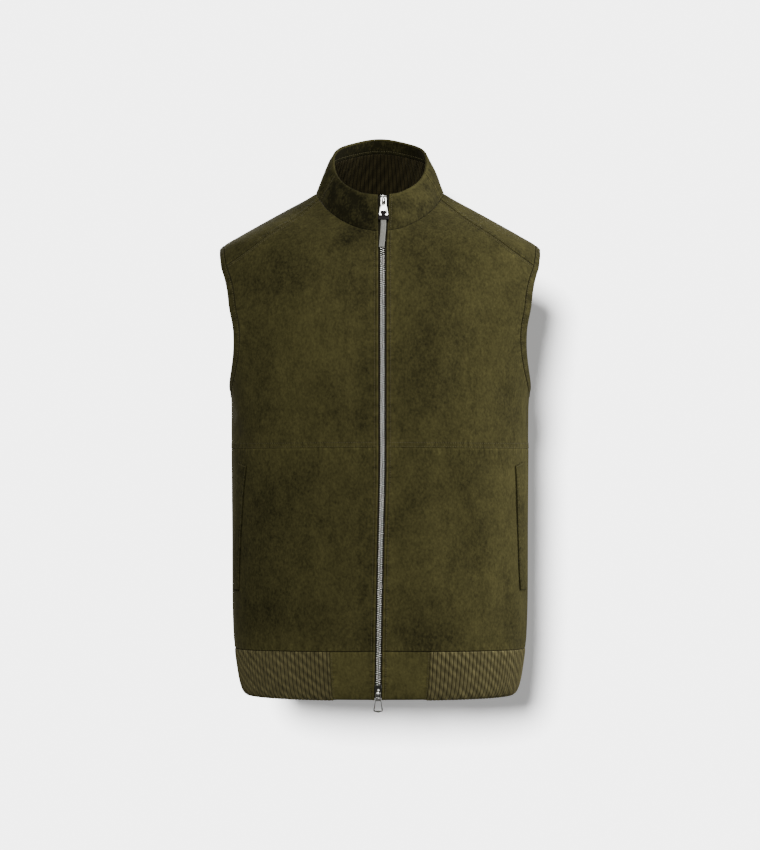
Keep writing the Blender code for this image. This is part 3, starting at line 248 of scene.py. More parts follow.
def copies(middle: Array, axes: tuple[Array, Array, Array], shape: Array) -> Array:
    """A shape's points set at each middle and turned to the three axes there."""
    one, two, three = (axis[:, None] * shape[None, :, k:k + 1] for k, axis in enumerate(axes))
    return middle[:, None] + one + two + three


def repeated(faces: Array, count: int, size: int) -> list:
    """Faces of one shape carried over to each of its copies."""
    return (faces[None] + (np.arange(count) * size)[:, None, None]).reshape(-1, faces.shape[-1]).tolist()


def squared(angle: Array, power: float) -> tuple[Array, Array]:
    """Cosine and sine of a superellipse: each raised to a power, its sign kept."""
    cosine, sine = np.cos(angle), np.sin(angle)
    return np.sign(cosine) * np.abs(cosine) ** power, np.sign(sine) * np.abs(sine) ** power


def close_rims(outer: Array, inner: Array, middle: Array | None = None, rims: tuple = RIMS) -> None:
    """Bring both sides of a wall together along its rims, at the middle or halfway between them."""
    for rim in rims:
        outer[rim] = inner[rim] = (outer[rim] + inner[rim]) / 2.0 if middle is None else middle[rim]


@dataclass(frozen=True)
class Surface:
    """A surface of two parameters: its points, its outward normals and a small step of each one."""

    place: Callable[[Array, Array], Array]
    step_u: float
    step_v: float

    def tangents(self, u: Array, v: Array) -> tuple[Array, Array]:
        """Derivatives along both parameters, from central differences."""
        along_u = (self.place(u + self.step_u, v) - self.place(u - self.step_u, v)) / (2 * self.step_u)
        along_v = (self.place(u, v + self.step_v) - self.place(u, v - self.step_v)) / (2 * self.step_v)
        return along_u, along_v

    def normal(self, u: Array, v: Array) -> Array:
        """Outward unit normals: the cross product of the two derivatives."""
        return unit(np.cross(*self.tangents(u, v)))

    def shifted(self, u: Array, v: Array, move: Array) -> tuple[Array, Array]:
        """Parameters of the points moved along the surface, by least squares on the derivatives."""
        along_u, along_v = self.tangents(u, v)
        a, b, c = (np.sum(p * q, -1) for p, q in ((along_u, along_u), (along_u, along_v), (along_v, along_v)))
        r, s = np.sum(along_u * move, -1), np.sum(along_v * move, -1)
        det = a * c - b * b
        return u + (c * r - b * s) / det, v + (a * s - b * r) / det


@dataclass
class GarmentForm:
    """The garment surface: a superellipse body with soft folds, and a collar that leans inwards."""

    turn_radius: float = 195.0
    rim_half_width: float = 61.5
    rim_front_depth: float = 70.0
    rim_back_depth: float = 62.0
    collar_bow: float = 1.5
    shoulder_turn: float = 70.0
    shoulder_end: float = 37.5
    side_turn: float = 90.0
    waist_front: float = -327.0
    waist_side: float = -330.0
    hem_front: float = -586.0
    hem_side: float = -590.0
    hem_bottom: float = -649.0
    tab_end_x: float = 64.5
    armhole_middle: float = -161.0
    armhole_edge: Ring = Ring(33.5, 91.0, 91.0)
    armhole_seam: Ring = Ring(37.7, 97.2, 103.0)
    square_above: float = 2.8
    square_below: float = 1.9
    crease_from: float = 7.0
    crease_full: float = 24.0

    def __post_init__(self) -> None:
        """Set up the curves of the tables and the two surfaces."""
        heights = [row.z for row in BODY_SECTIONS]
        self.section = {name: Curve(heights, [getattr(row, name) for row in BODY_SECTIONS])
                        for name in ("half_width", "front_depth", "back_depth", "squareness")}
        self.neck_height, self.rim_height = pairs_curve(NECK_SEAM), pairs_curve(COLLAR_RIM)
        self.zip_middle = Curve([r.z for r in ZIP_LINE], [r.middle for r in ZIP_LINE])
        self.zip_half_gap = Curve([r.z for r in ZIP_LINE], [r.half_gap for r in ZIP_LINE])
        self.neck_half_width = float(self.section["half_width"](self.neck_height(90.0)))
        self.bare = Surface(self.bare_place, 0.5, 1.0)
        self.body = Surface(self.body_place, 0.5, 1.0)
        self.collar = Surface(self.collar_place, 0.5, 0.02)

    def soft_sum(self, rows: tuple[Soft, ...], turn: Array, z: Array) -> Array:
        """Sum of soft patches: each a Gaussian along and across its own tilted line."""
        total = np.zeros(np.broadcast(turn, z).shape)
        for row in rows:
            across = np.radians(wrapped(turn, row.turn)) * self.turn_radius
            up, tilt = z - row.z, math.radians(row.tilt)
            along = across * math.cos(tilt) + up * math.sin(tilt)
            side = up * math.cos(tilt) - across * math.sin(tilt)
            total += row.height * np.exp(-(along / row.half_length) ** 2 - (side / row.half_width) ** 2)
        return total

    def bare_place(self, turn: Array, z: Array) -> Array:
        """Superellipse at each height, its front and back depths apart."""
        turn, z = np.broadcast_arrays(np.asarray(turn, float), np.asarray(z, float))
        sine, cosine = np.sin(np.radians(turn)), np.cos(np.radians(turn))
        power = self.section["squareness"](z)
        reach = (np.abs(sine) ** power + np.abs(cosine) ** power) ** (-1.0 / power)
        depth = np.where(cosine > 0, self.section["front_depth"](z), self.section["back_depth"](z))
        return np.stack([self.section["half_width"](z) * reach * sine, -depth * reach * cosine, z], -1)

    def body_place(self, turn: Array, z: Array) -> Array:
        """Bare body moved along its normals by the folds, and by the creases clear of the zip."""
        turn, z = np.broadcast_arrays(np.asarray(turn, float), np.asarray(z, float))
        base = self.bare_place(turn, z)
        beside = np.abs(base[..., 0] - self.zip_middle(z)) + 1e3 * (base[..., 1] > 0)
        fine = self.soft_sum(CREASES, turn, z) * smooth_step(beside, self.crease_from, self.crease_full)
        lift = self.soft_sum(FOLDS, turn, z) + fine
        return base + self.bare.normal(turn, z) * lift[..., None]

    def turn_at(self, x: Array, z: Array) -> Array:
        """The turn, in front, at which the bare body reaches x at the height z."""
        ratio = np.clip(np.abs(x) / self.section["half_width"](z), 0.0, 0.99999)
        power = self.section["squareness"](z)
        tangent = (ratio ** power / (1.0 - ratio ** power)) ** (1.0 / power)
        return np.sign(x) * np.degrees(np.arctan(tangent))

    def neck_body_turn(self, turn: Array) -> Array:
        """The body's own turn at each place round the neck seam."""
        around = np.abs(wrapped(turn, 0.0))
        front = self.turn_at(self.neck_half_width * np.sin(np.radians(around)), self.neck_height(around))
        return np.sign(wrapped(turn, 0.0)) * np.where(around <= 90.0, front, 180.0 - front)

    def collar_place(self, turn: Array, up: Array) -> Array:
        """Straight from the neck seam (up 0) to the rim (up 1), bowed slightly outwards."""
        turn, up = np.broadcast_arrays(np.asarray(turn, float), np.asarray(up, float))
        sine, cosine = np.sin(np.radians(turn)), np.cos(np.radians(turn))
        around = np.abs(wrapped(turn, 0.0))
        depth = np.where(cosine > 0, self.rim_front_depth, self.rim_back_depth)
        rim = np.stack([self.rim_half_width * sine, -depth * cosine, self.rim_height(around)], -1)
        outward = np.stack([sine, -cosine, np.zeros_like(sine)], -1)
        foot = self.body_place(self.neck_body_turn(turn), self.neck_height(around))
        share, bow = up[..., None], (self.collar_bow * 4.0 * up * (1.0 - up))[..., None]
        return foot * (1.0 - share) + rim * share + outward * bow

    def collar_turn(self, x: Array, up: Array) -> Array:
        """The turn round the collar at which it reaches x, near the zip."""
        return np.degrees(np.arcsin(x / (self.neck_half_width * (1.0 - up) + self.rim_half_width * up)))

    def front(self, x: Array, z: Array) -> tuple[Array, Array]:
        """Points and normals of the front near the zip: body below the neck seam, collar above it."""
        x, z = np.broadcast_arrays(np.asarray(x, float), np.asarray(z, float))
        seam_z = self.neck_height(np.abs(self.collar_turn(x, 0.0)))
        up = np.clip((z - seam_z) / (self.rim_height(0.0) - seam_z), 0.0, 1.0)
        turn, around = self.turn_at(x, np.minimum(z, seam_z)), self.collar_turn(x, up)
        low = (z <= seam_z)[..., None]
        points = np.where(low, self.body.place(turn, z), self.collar.place(around, up))
        return points, np.where(low, self.body.normal(turn, z), self.collar.normal(around, up))

    def waist_height(self, turn: Array) -> Array:
        """Height of the waist seam."""
        return self.waist_front + (self.waist_side - self.waist_front) * np.abs(turn) / self.side_turn

    def hem_height(self, turn: Array) -> Array:
        """Height of the hem seam, level round the back."""
        share = np.minimum(np.abs(wrapped(turn, 0.0)) / self.side_turn, 1.0)
        return self.hem_front + (self.hem_side - self.hem_front) * share

    def armhole(self, ring: Ring, degrees: Array) -> tuple[Array, Array]:
        """Turn and height round an armhole ring: 0 degrees is foremost, 90 the top."""
        sine, cosine = np.sin(np.radians(degrees)), np.cos(np.radians(degrees))
        power = np.where(sine > 0, 2.0 / self.square_above, 2.0 / self.square_below)
        reach = np.where(sine > 0, ring.rise, ring.drop)
        turn = self.side_turn - ring.half_turn * np.sign(cosine) * np.abs(cosine) ** power
        return turn, self.armhole_middle + reach * np.sign(sine) * np.abs(sine) ** power

    def front_edge(self, side: int, z: Array) -> Array:
        """Turn of a front panel's edge beside the zip."""
        return self.turn_at(self.zip_middle(z) + side * self.zip_half_gap(z), z)

    def neck_corner(self, side: int) -> float:
        """Turn round the neck where a front edge meets it."""
        z = NECK_SEAM[0][1]
        return float(self.collar_turn(self.zip_middle(z) + side * self.zip_half_gap(z), 0.0))

    def tab_end(self, side: int) -> float:
        """Turn of the seam between a hem tab and the rib."""
        return float(self.turn_at(side * self.tab_end_x, self.hem_front))

    def shoulder_line(self) -> tuple[Array, Array]:
        """Turn and height along the right forward shoulder seam, from the neck to the armhole."""
        neck_z = float(self.neck_height(self.shoulder_turn))
        neck_x = self.neck_half_width * math.sin(math.radians(self.shoulder_turn))
        end_turn, end_z = self.armhole(self.armhole_seam, np.array(self.shoulder_end))
        end_x = float(self.bare_place(end_turn, end_z)[0])
        drop = Curve([neck_x, *(x for x, _ in SHOULDER_SEAM), end_x],
                     [neck_z, *(z for _, z in SHOULDER_SEAM), float(end_z)])
        x = np.linspace(neck_x, end_x, 90)
        turn = self.turn_at(x, drop(x))
        turn[0] = float(self.neck_body_turn(np.array(self.shoulder_turn)))
        turn[-1] = float(end_turn)
        return turn, drop(x)


class Path:
    """A line on a surface, from dense parameters, with its own length along it."""

    def __init__(self, surface: Surface, u: Array, v: Array) -> None:
        """Measure the line's length at each of its points."""
        self.surface = surface
        self.u, self.v = np.broadcast_arrays(np.asarray(u, float), np.asarray(v, float))
        self.points = surface.place(self.u, self.v)
        self.run = run_of(self.points)
        self.length = float(self.run[-1])

    def at(self, share: Array) -> tuple[Array, Array]:
        """Parameters at shares of the length."""
        run = np.asarray(share) * self.length
        return np.interp(run, self.run, self.u), np.interp(run, self.run, self.v)

    def plus(self, *others: Path) -> Path:
        """This line with others joined to its end."""
        return Path(self.surface, np.concatenate([self.u, *(o.u[1:] for o in others)]),
                    np.concatenate([self.v, *(o.v[1:] for o in others)]))

    def gap_to(self, points: Array) -> tuple[Array, Array]:
        """Distance of each point from the line, and how far along it its foot lies."""
        count = max(8, int(self.length / 1.2))
        u, v = self.at(np.linspace(0.0, 1.0, count))
        line = self.surface.place(u, v)
        tangent = unit(np.gradient(line, axis=0))
        step = self.length / (count - 1)
        nearest = np.concatenate([
            np.argmin(((part[:, None, :] - line[None]) ** 2).sum(-1), axis=1)
            for part in np.array_split(points, max(1, len(points) // 2000))])
        away = points - line[nearest]
        along = np.clip(np.sum(away * tangent[nearest], -1), -step, step)
        along = np.where(nearest == 0, np.maximum(along, 0.0), along)
        along = np.where(nearest == count - 1, np.minimum(along, 0.0), along)
        return np.linalg.norm(away - tangent[nearest] * along[:, None], axis=-1), nearest * step + along


class Patch:
    """A four-sided patch in the surface's parameters, blended from its sides and then unfolded."""

    lattice = 81
    rounds = 700
    mm_per_degree = 3.4

    def __init__(self, bottom: Path, top: Path, start: Path, end: Path) -> None:
        """Keep the sides: bottom and top run from start to end, start and end from bottom to top."""
        self.bottom, self.top, self.start, self.end = bottom, top, start, end
        self.surface = bottom.surface
        self.moves = self.unfolded()

    def blended(self, across: Array, up: Array) -> Array:
        """Coons blend: opposite sides blended, both ways, less the blend of the four corners."""
        low, high = np.array(self.bottom.at(across))[:, None, :], np.array(self.top.at(across))[:, None, :]
        first, last = np.array(self.start.at(up))[..., None], np.array(self.end.at(up))[..., None]
        s, t = across[None, None, :], up[None, :, None]
        corners = ((1 - t) * ((1 - s) * first[:, :1] + s * last[:, :1])
                   + t * ((1 - s) * first[:, -1:] + s * last[:, -1:]))
        return (1 - t) * low + t * high + (1 - s) * first + s * last - corners

    def unfolded(self) -> Array:
        """Moves that keep the blend's grid from folding where a side bends sharply.

        Each inner point of a lattice goes towards the mean of its neighbours, each pair weighted by
        the squared length of the step across it, less the pull of the cross derivative.
        """
        share = np.linspace(0.0, 1.0, self.lattice)
        scale = np.array([self.mm_per_degree, 1.0])[:, None, None]
        first = self.blended(share, share) * scale
        grid = first.copy()
        for _ in range(self.rounds):
            east, west = grid[:, 1:-1, 2:], grid[:, 1:-1, :-2]
            north, south = grid[:, 2:, 1:-1], grid[:, :-2, 1:-1]
            along, above = (east - west) / 2.0, (north - south) / 2.0
            a, b, c = (above ** 2).sum(0), (along * above).sum(0), (along ** 2).sum(0)
            twist = grid[:, 2:, 2:] - grid[:, 2:, :-2] - grid[:, :-2, 2:] + grid[:, :-2, :-2]
            wanted = (a * (east + west) + c * (north + south) - 0.5 * b * twist) / (2.0 * (a + c) + 1e-9)
            grid[:, 1:-1, 1:-1] += 0.8 * (wanted - grid[:, 1:-1, 1:-1])
        return (grid - first) / scale

    def at(self, across: Array, up: Array) -> tuple[Array, Array]:
        """Parameters: the blend, and the lattice's moves carried linearly between its points."""
        steps = np.arange(self.lattice)[None, :]
        wide, tall = (np.clip(1.0 - np.abs(p[:, None] * (self.lattice - 1) - steps), 0.0, 1.0)
                      for p in (across, up))
        both = self.blended(across, up) + tall @ self.moves @ wide.T
        return both[0], both[1]


def bell(value: Array, middle: float, width: float) -> Array:
    """Gaussian of a value about a middle."""
    return np.exp(-((value - middle) / width) ** 2)


EDGE_OFFSETS = (0.0, 0.4, 0.9, 1.5, 2.1, 2.8, 3.5, 4.3, 5.3, 6.5, 7.8, 9.6, 12.0)
GRID_STEP = 3.6


def spread(length: float, step: float = GRID_STEP) -> Array:
    """Shares of a length: close together near both ends and evenly apart between."""
    low = np.array([offset for offset in EDGE_OFFSETS if offset < 0.45 * length])
    high = length - low[::-1]
    count = max(2, int(round((high[0] - low[-1]) / step)) + 1)
    return np.concatenate([low, np.linspace(low[-1], high[0], count)[1:-1], high]) / length


class Fold(Enum):
    """How an edge is made."""

    SEAM = 1.3
    TURNED = 1.0


@dataclass
class Seam:
    """One edge of a panel: its line, its stitch rows' distances from it and how it stands up.

    Wear and highlight is how much lighter the nap is on the ridge beside the edge: partly rubbed nap, partly
    a painted highlight.
    """

    path: Path
    rows: tuple[float, ...] = ()
    raised: float = 0.0
    fold: Fold = Fold.SEAM
    depth: float = 0.9
    dark: float = 1.0
    wear_and_highlight: float = 0.3


def grid_quads(rows: int, columns: int, index: Array | None = None, closed: bool = False) -> Array:
    """Quads of a grid, seen from outside, its rows going up and its columns going round."""
    index = np.arange(rows * columns).reshape(rows, columns) if index is None else index
    after = np.roll(index, -1, axis=1) if closed else index[:, 1:]
    index = index if closed else index[:, :-1]
    return np.stack([index[:-1], after[:-1], after[1:], index[1:]], -1).reshape(-1, 4)


def new_object(name: str, points: Array, faces: list | Array) -> bpy.types.Object:
    """An object from points in millimetres, shaded smooth."""
    mesh = bpy.data.meshes.new(name)
    faces = faces.tolist() if isinstance(faces, np.ndarray) else faces
    mesh.from_pydata((np.asarray(points, float) * MM).tolist(), [], faces)
    mesh.shade_smooth()
    made = bpy.data.objects.new(name, mesh)
    bpy.context.scene.collection.objects.link(made)
    return made


def set_attribute(made: bpy.types.Object, name: str, values: Array) -> None:
    """A number for each point, for the materials to read."""
    layer = made.data.attributes.new(name, "FLOAT", "POINT")
    layer.data.foreach_set("value", np.asarray(values, np.float32).ravel())


def set_map(made: bpy.types.Object, across: Array, up: Array) -> None:
    """The piece's own map: two numbers for each point, read as a UV map."""
    layer = made.data.uv_layers.new(name="cloth")
    corners = np.zeros(len(made.data.loops), np.int32)
    made.data.loops.foreach_get("vertex_index", corners)
    both = np.stack([np.ravel(across), np.ravel(up)], -1)[corners]
    layer.data.foreach_set("uv", both.astype(np.float32).ravel())


def double_wall(outer: Array, inner: Array, closed: bool = False) -> tuple[Array, Array, Array]:
    """Both sides of a cloth wall that share their border points.

    Args:
        outer: points of the outer side, rows by columns.
        inner: points of the inner side, the same size.
        closed: whether the columns go all the way round.

    Returns:
        The points, the quads and the grid place of each point.
    """
    rows, columns = outer.shape[:2]
    border = np.zeros((rows, columns), bool)
    border[0] = border[-1] = True
    if not closed:
        border[:, 0] = border[:, -1] = True
    first = np.arange(rows * columns).reshape(rows, columns)
    second = np.where(border, first, rows * columns + np.cumsum(~border.ravel()).reshape(rows, columns) - 1)
    quads = np.concatenate([grid_quads(rows, columns, first, closed),
                            grid_quads(rows, columns, second, closed)[:, ::-1]])
    inside = np.flatnonzero(~border.ravel())
    points = np.concatenate([outer.reshape(-1, 3), inner.reshape(-1, 3)[inside]])
    return points, quads, np.concatenate([np.arange(rows * columns), inside])


def flat_size(points: Array) -> tuple[float, float, float]:
    """Widest row, longest column and area of a grid, in metres: the size that the piece is cut to."""
    across = np.linalg.norm(np.diff(points, axis=1), axis=-1).sum(axis=1).max()
    up = np.linalg.norm(np.diff(points, axis=0), axis=-1).sum(axis=0).max()
    one, two = points[1:, 1:] - points[:-1, :-1], points[1:, :-1] - points[:-1, 1:]
    area = np.linalg.norm(np.cross(one, two), axis=-1).sum() / 2.0
    area = min(area, 0.999 * across * up)
    return float(across * MM), float(up * MM), float(area * MM * MM)


def rounding(gap: Array, wall: float, roll: float) -> Array:
    """How far a wall's side drops near its edge: a quarter ellipse from half the wall to nothing."""
    share = np.clip(gap / roll, 0.0, 1.0)
    return wall / 2.0 * (1.0 - np.sqrt(np.clip(1.0 - (1.0 - share) ** 2, 0.0, 1.0)))


@dataclass(frozen=True)
class Finish:
    """A finish: how its material is made, the record's slot, and its colour in linear light."""

    name: str
    slot: str
    colour: tuple[float, float, float]
    roughness: float


SUEDE = Finish("brushed_olive_suede", "suede", (0.0645, 0.0580, 0.0190), 0.92)
RIB = Finish("olive_rib_knit", "rib_knit", (0.143, 0.125, 0.054), 0.9)
# Colour of the lining knit darkened to 0.7 of its own: painted shade inside the collar.
LINING = Finish("inner_rib_knit", "lining_knit", (0.028, 0.0225, 0.0085), 0.9)
TAPE = Finish("woven_zip_tape", "zip_tape", (0.024, 0.021, 0.0095), 0.85)
NICKEL = Finish("polished_nickel", "zip_metal", (0.66, 0.65, 0.61), 0.18)
DARK_NICKEL = Finish("shaded_nickel", "zip_metal", (0.12, 0.118, 0.108), 0.34)
HIDE = Finish("brown_leather", "loop_leather", (0.013, 0.0078, 0.0062), 0.55)
STRAP = Finish("grey_woven_strap", "strap_weave", (0.40, 0.40, 0.355), 0.7)
THREAD = Finish("olive_thread", "suede", (0.120, 0.105, 0.046), 0.75)


class Shop:
    """Builds the finishes' materials and dresses finished pieces with them."""

    def __init__(self) -> None:
        """Start with no material made."""
        self.made: dict[str, bpy.types.Material] = {}
        self.groups: dict[str, bpy.types.NodeTree] = {}
        self.metal: list[bpy.types.Object] = []

    def dress(self, piece: bpy.types.Object, finish: Finish, node: str = "", body: str = "garment") -> None:
        """Give a piece its material, the body that it rides on and the solid it stands for."""
        if finish.name not in self.made:
            self.made[finish.name] = MAKERS[finish.name](self, finish)
        piece.data.materials.append(self.made[finish.name])
        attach(piece, body)
        if node:
            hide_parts(node)
        if finish is NICKEL and body != "bottom_pull":
            self.metal.append(piece)
        LOG.info("%s: %s, %d points", piece.name, finish.name, len(piece.data.vertices))

    def cloth(self, name: str, wall: tuple[Array, Array, Array], finish: Finish, node: str,
              flat: tuple[float, float, float], marks: dict[str, Array],
              cloth_map: tuple[Array, Array] | None = None, held: str = "draped") -> None:
        """Make, dress and register one sheet of cloth.

        Args:
            name: the piece's name.
            wall: its points, its faces and the grid place of each point.
            finish: what it is made of.
            node: the solid that it stands for.
            flat: not used.
            marks: numbers on the grid that its material reads.
            cloth_map: the two numbers of its own map, on the grid.
            held: not used.
        """
        points, faces, source = wall
        made = new_object(name, points, faces)
        for key, values in marks.items():
            set_attribute(made, key, np.ravel(values)[source])
        if cloth_map is not None:
            set_map(made, *(np.ravel(values)[source] for values in cloth_map))
        self.dress(made, finish, node)


class Net:
    """A node tree under construction: short calls that add a node and join its inputs."""

    def __init__(self, tree: bpy.types.NodeTree) -> None:
        """Keep the tree."""
        self.tree = tree

    def node(self, kind: str, inputs: dict | None = None, **settings: object) -> bpy.types.Node:
        """Add a node, set its properties, and set or link its inputs."""
        made = self.tree.nodes.new("ShaderNode" + kind)
        for name, value in settings.items():
            setattr(made, name, value)
        self.feed(made, inputs or {})
        return made

    def feed(self, node: bpy.types.Node, inputs: dict) -> None:
        """Set a node's inputs, or link those that come from another node."""
        for name, value in inputs.items():
            if isinstance(value, bpy.types.NodeSocket):
                self.tree.links.new(value, node.inputs[name])
            else:
                node.inputs[name].default_value = value

    def place(self) -> bpy.types.NodeSocket:
        """The point's place on its object."""
        return self.node("TexCoord").outputs["Object"]

    def map(self) -> tuple[bpy.types.NodeSocket, bpy.types.NodeSocket]:
        """Both numbers of the piece's own map."""
        split = self.node("SeparateXYZ", {0: self.node("UVMap", uv_map="cloth").outputs[0]})
        return split.outputs[0], split.outputs[1]

    def chain(self, operation: str, first: object, *others: object) -> bpy.types.NodeSocket:
        """One operation carried on over several values."""
        for other in others:
            first = self.math(operation, first, other)
        return first

    def math(self, operation: str, *values: object, clamp: bool = False) -> bpy.types.NodeSocket:
        """One arithmetic step."""
        return self.node("Math", dict(enumerate(values)), operation=operation, use_clamp=clamp).outputs[0]

    def bell(self, value: object, middle: object, width: float) -> bpy.types.NodeSocket:
        """Gaussian of a value about a middle: e to the minus square of the distance over the width."""
        off = self.math("DIVIDE", self.math("SUBTRACT", value, middle), width)
        return self.math("EXPONENT", self.chain("MULTIPLY", off, off, -1.0))

    def noise(self, scale: float, detail: float = 2.0, vector: object = None,
              distortion: float = 0.0) -> bpy.types.NodeSocket:
        """Noise from 0 to 1, about 0.5."""
        inputs = {"Scale": scale, "Detail": detail, "Distortion": distortion}
        if vector is not None:
            inputs["Vector"] = vector
        return self.node("TexNoise", inputs).outputs["Fac"]

    def range(self, value: object, low: float, high: float, new_low: float,
              new_high: float) -> bpy.types.NodeSocket:
        """A value carried from one range to another, clamped."""
        return self.node("MapRange", {"Value": value, "From Min": low, "From Max": high,
                                      "To Min": new_low, "To Max": new_high}).outputs[0]

    def attribute(self, name: str) -> bpy.types.NodeSocket:
        """A number stored on the piece's points."""
        return self.node("Attribute", attribute_name=name).outputs["Fac"]

    def scaled(self, colour: tuple[float, float, float], factor: object) -> bpy.types.NodeSocket:
        """A colour times a factor."""
        mixed = self.node("VectorMath", {0: colour}, operation="SCALE")
        self.tree.links.new(factor, mixed.inputs["Scale"])
        return mixed.outputs[0]


def new_group(name: str, inputs: tuple[str, ...], outputs: tuple[str, ...]) -> tuple[Net, dict, dict]:
    """A shader group of plain numbers, with its inner ends."""
    tree = bpy.data.node_groups.new(name, "ShaderNodeTree")
    for word in inputs:
        tree.interface.new_socket(word, in_out="INPUT", socket_type="NodeSocketFloat")
    for word in outputs:
        tree.interface.new_socket(word, in_out="OUTPUT", socket_type="NodeSocketFloat")
    start, end = tree.nodes.new("NodeGroupInput"), tree.nodes.new("NodeGroupOutput")
    return Net(tree), {w: start.outputs[w] for w in inputs}, {w: end.inputs[w] for w in outputs}


def seam_group() -> bpy.types.NodeTree:
    """Dents of the stitch rows, puckers across the seam and the dark line where the pieces meet.

    The dent of a row is a Gaussian of the distance from it, and the puckers are noise along the
    seam that dies away from it. All three fade where two seams come together.
    """
    net, given, out = new_group("seam_relief", ("Gap", "Run", "Row one", "Row two", "Dark", "Clear"),
                                ("Height", "Shade"))
    rows = [net.bell(given["Gap"], given[w], 0.6) for w in ("Row one", "Row two")]
    dents = net.math("MULTIPLY", net.math("ADD", *rows, clamp=True), given["Clear"])
    line = net.math("MULTIPLY", net.bell(given["Gap"], 0.0, 0.75), given["Dark"])
    near = net.math("MULTIPLY", net.bell(given["Gap"], 3.5, 6.0), given["Clear"])
    along = net.node("CombineXYZ", {"X": given["Run"], "Y": net.math("MULTIPLY", given["Gap"], 0.22)})
    ripple = net.math("MULTIPLY", net.math("SUBTRACT", net.noise(0.2, 2.0, along.outputs[0]), 0.5), near)
    holes = net.math("MULTIPLY", dents, net.math("SINE", net.math("MULTIPLY", given["Run"], 2.03)))
    height = net.chain("SUBTRACT", net.math("MULTIPLY", ripple, 1.6), net.math("MULTIPLY", dents, 0.35),
                       net.math("MULTIPLY", line, 0.3))
    # The shade darkens the stitch dents and holes, painted shade in those hollows, and rises and falls with
    # the puckers, painted light and shade on them.
    shade = net.chain("SUBTRACT", 1.0, net.math("MULTIPLY", dents, 0.34), net.math("MULTIPLY", holes, 0.2),
                      net.math("MULTIPLY", line, 0.55))
    shade = net.math("ADD", shade, net.math("MULTIPLY", ripple, 1.5))
    net.tree.links.new(height, out["Height"])
    net.tree.links.new(net.math("MAXIMUM", shade, 0.15), out["Shade"])
    return net.tree


# Each noise's scale, detail and distortion, and its share in the nap's colour and height
NAP_NOISES = ((7.0, 2.0, 0.5, 0.8, 0.0), (13.0, 3.0, 0.6, 1.1, 0.0), (44.0, 3.0, 1.0, 0.9, 0.1),
              (120.0, 2.0, 0.5, 0.75, 0.12), (380.0, 2.0, 0.3, 1.6, 0.3), (1100.0, 1.0, 0.0, 0.5, 0.2))


def nap_group() -> bpy.types.NodeTree:
    """Mottle and grain of a short nap: noises of falling size added up, and the fibres' height. The piece's
    nap mark, with its painted shade and painted light, darkens the shade.
    """
    net, given, out = new_group("short_nap", ("Nap and shade", "Contrast"), ("Height", "Shade"))
    place = net.node("Mapping", {"Vector": net.place(), "Scale": (1.0, 1.0, 0.7)}).outputs[0]
    total, height = 0.0, 0.0
    for scale, detail, twist, tint, rise in NAP_NOISES:
        value = net.math("SUBTRACT", net.noise(scale, detail, place, twist), 0.5)
        total = net.math("ADD", total, net.math("MULTIPLY", value, tint))
        height = net.math("ADD", height, net.math("MULTIPLY", value, rise))
    total = net.math("MULTIPLY", total, given["Contrast"])
    shade = net.math("SUBTRACT", net.math("ADD", 1.0, total), net.math("MULTIPLY", given["Nap and shade"], 0.42))
    net.tree.links.new(height, out["Height"])
    net.tree.links.new(net.math("MAXIMUM", shade, 0.2), out["Shade"])
    return net.tree


def knit_group() -> bpy.types.NodeTree:
    """Knit stitches on a map that counts wales across and courses up.

    In each wale the course's phase grows by the distance from the wale's middle, which makes a V,
    and the yarn stands up where the phase is whole.
    """
    net, given, out = new_group("knit_stitch", ("Wale", "Course"), ("Height", "Shade"))
    off = net.math("ABSOLUTE", net.math("SUBTRACT", net.math("FRACT", given["Wale"]), 0.5))
    phase = net.math("FRACT", net.math("ADD", given["Course"], net.math("MULTIPLY", off, 1.5)))
    yarn = net.math("SINE", net.math("MULTIPLY", phase, math.pi))
    side = net.math("SUBTRACT", 1.0, net.math("POWER", net.math("MULTIPLY", off, 2.0), 4.0))
    height = net.math("MULTIPLY", yarn, side)
    net.tree.links.new(height, out["Height"])
    # The shade follows the yarn's height: painted shade between the loops.
    net.tree.links.new(net.math("ADD", 0.62, net.math("MULTIPLY", height, 0.62)), out["Shade"])
    return net.tree


def weave_group() -> bpy.types.NodeTree:
    """Plain weave on a map in millimetres: two sets of threads, each a sine that passes over by turns."""
    net, given, out = new_group("plain_weave", ("Across", "Up", "Pitch"), ("Height", "Shade"))
    waves = []
    for one, other in (("Across", "Up"), ("Up", "Across")):
        turns = (net.math("MULTIPLY", given[one], math.tau), net.math("MULTIPLY", given[other], math.pi))
        waves.append(net.math("MULTIPLY", *(net.math("SINE", net.math("DIVIDE", turn, given["Pitch"]))
                                            for turn in turns)))
    height = net.math("ABSOLUTE", net.math("ADD", waves[0], waves[1]))
    net.tree.links.new(height, out["Height"])
    # The shade follows the threads' height: painted shade where they dip under.
    net.tree.links.new(net.math("ADD", 0.7, net.math("MULTIPLY", height, 0.35)), out["Shade"])
    return net.tree


GROUPS = {"seam_relief": seam_group, "short_nap": nap_group, "knit_stitch": knit_group,
          "plain_weave": weave_group}


def place_group(shop: Shop, net: Net, name: str, inputs: dict) -> bpy.types.Node:
    """Put a shared group, built once, into a material."""
    if name not in shop.groups:
        shop.groups[name] = GROUPS[name]()
    made = net.node("Group", node_tree=shop.groups[name])
    net.feed(made, inputs)
    return made


def new_material(finish: Finish, sheen: float = 0.0, metallic: float = 0.0,
                 specular: float = 0.3) -> tuple[bpy.types.Material, Net, bpy.types.Node]:
    """A Principled material with the values that are the same all over it."""
    made = bpy.data.materials.new(finish.name)
    made.use_nodes = True
    net, shader = Net(made.node_tree), made.node_tree.nodes["Principled BSDF"]
    net.feed(shader, {"Base Color": (*finish.colour, 1.0), "Roughness": finish.roughness,
                      "Metallic": metallic, "Specular IOR Level": specular, "Sheen Weight": sheen,
                      "Sheen Roughness": 0.4, "Sheen Tint": (0.62, 0.56, 0.36, 1.0)})
    return made, net, shader


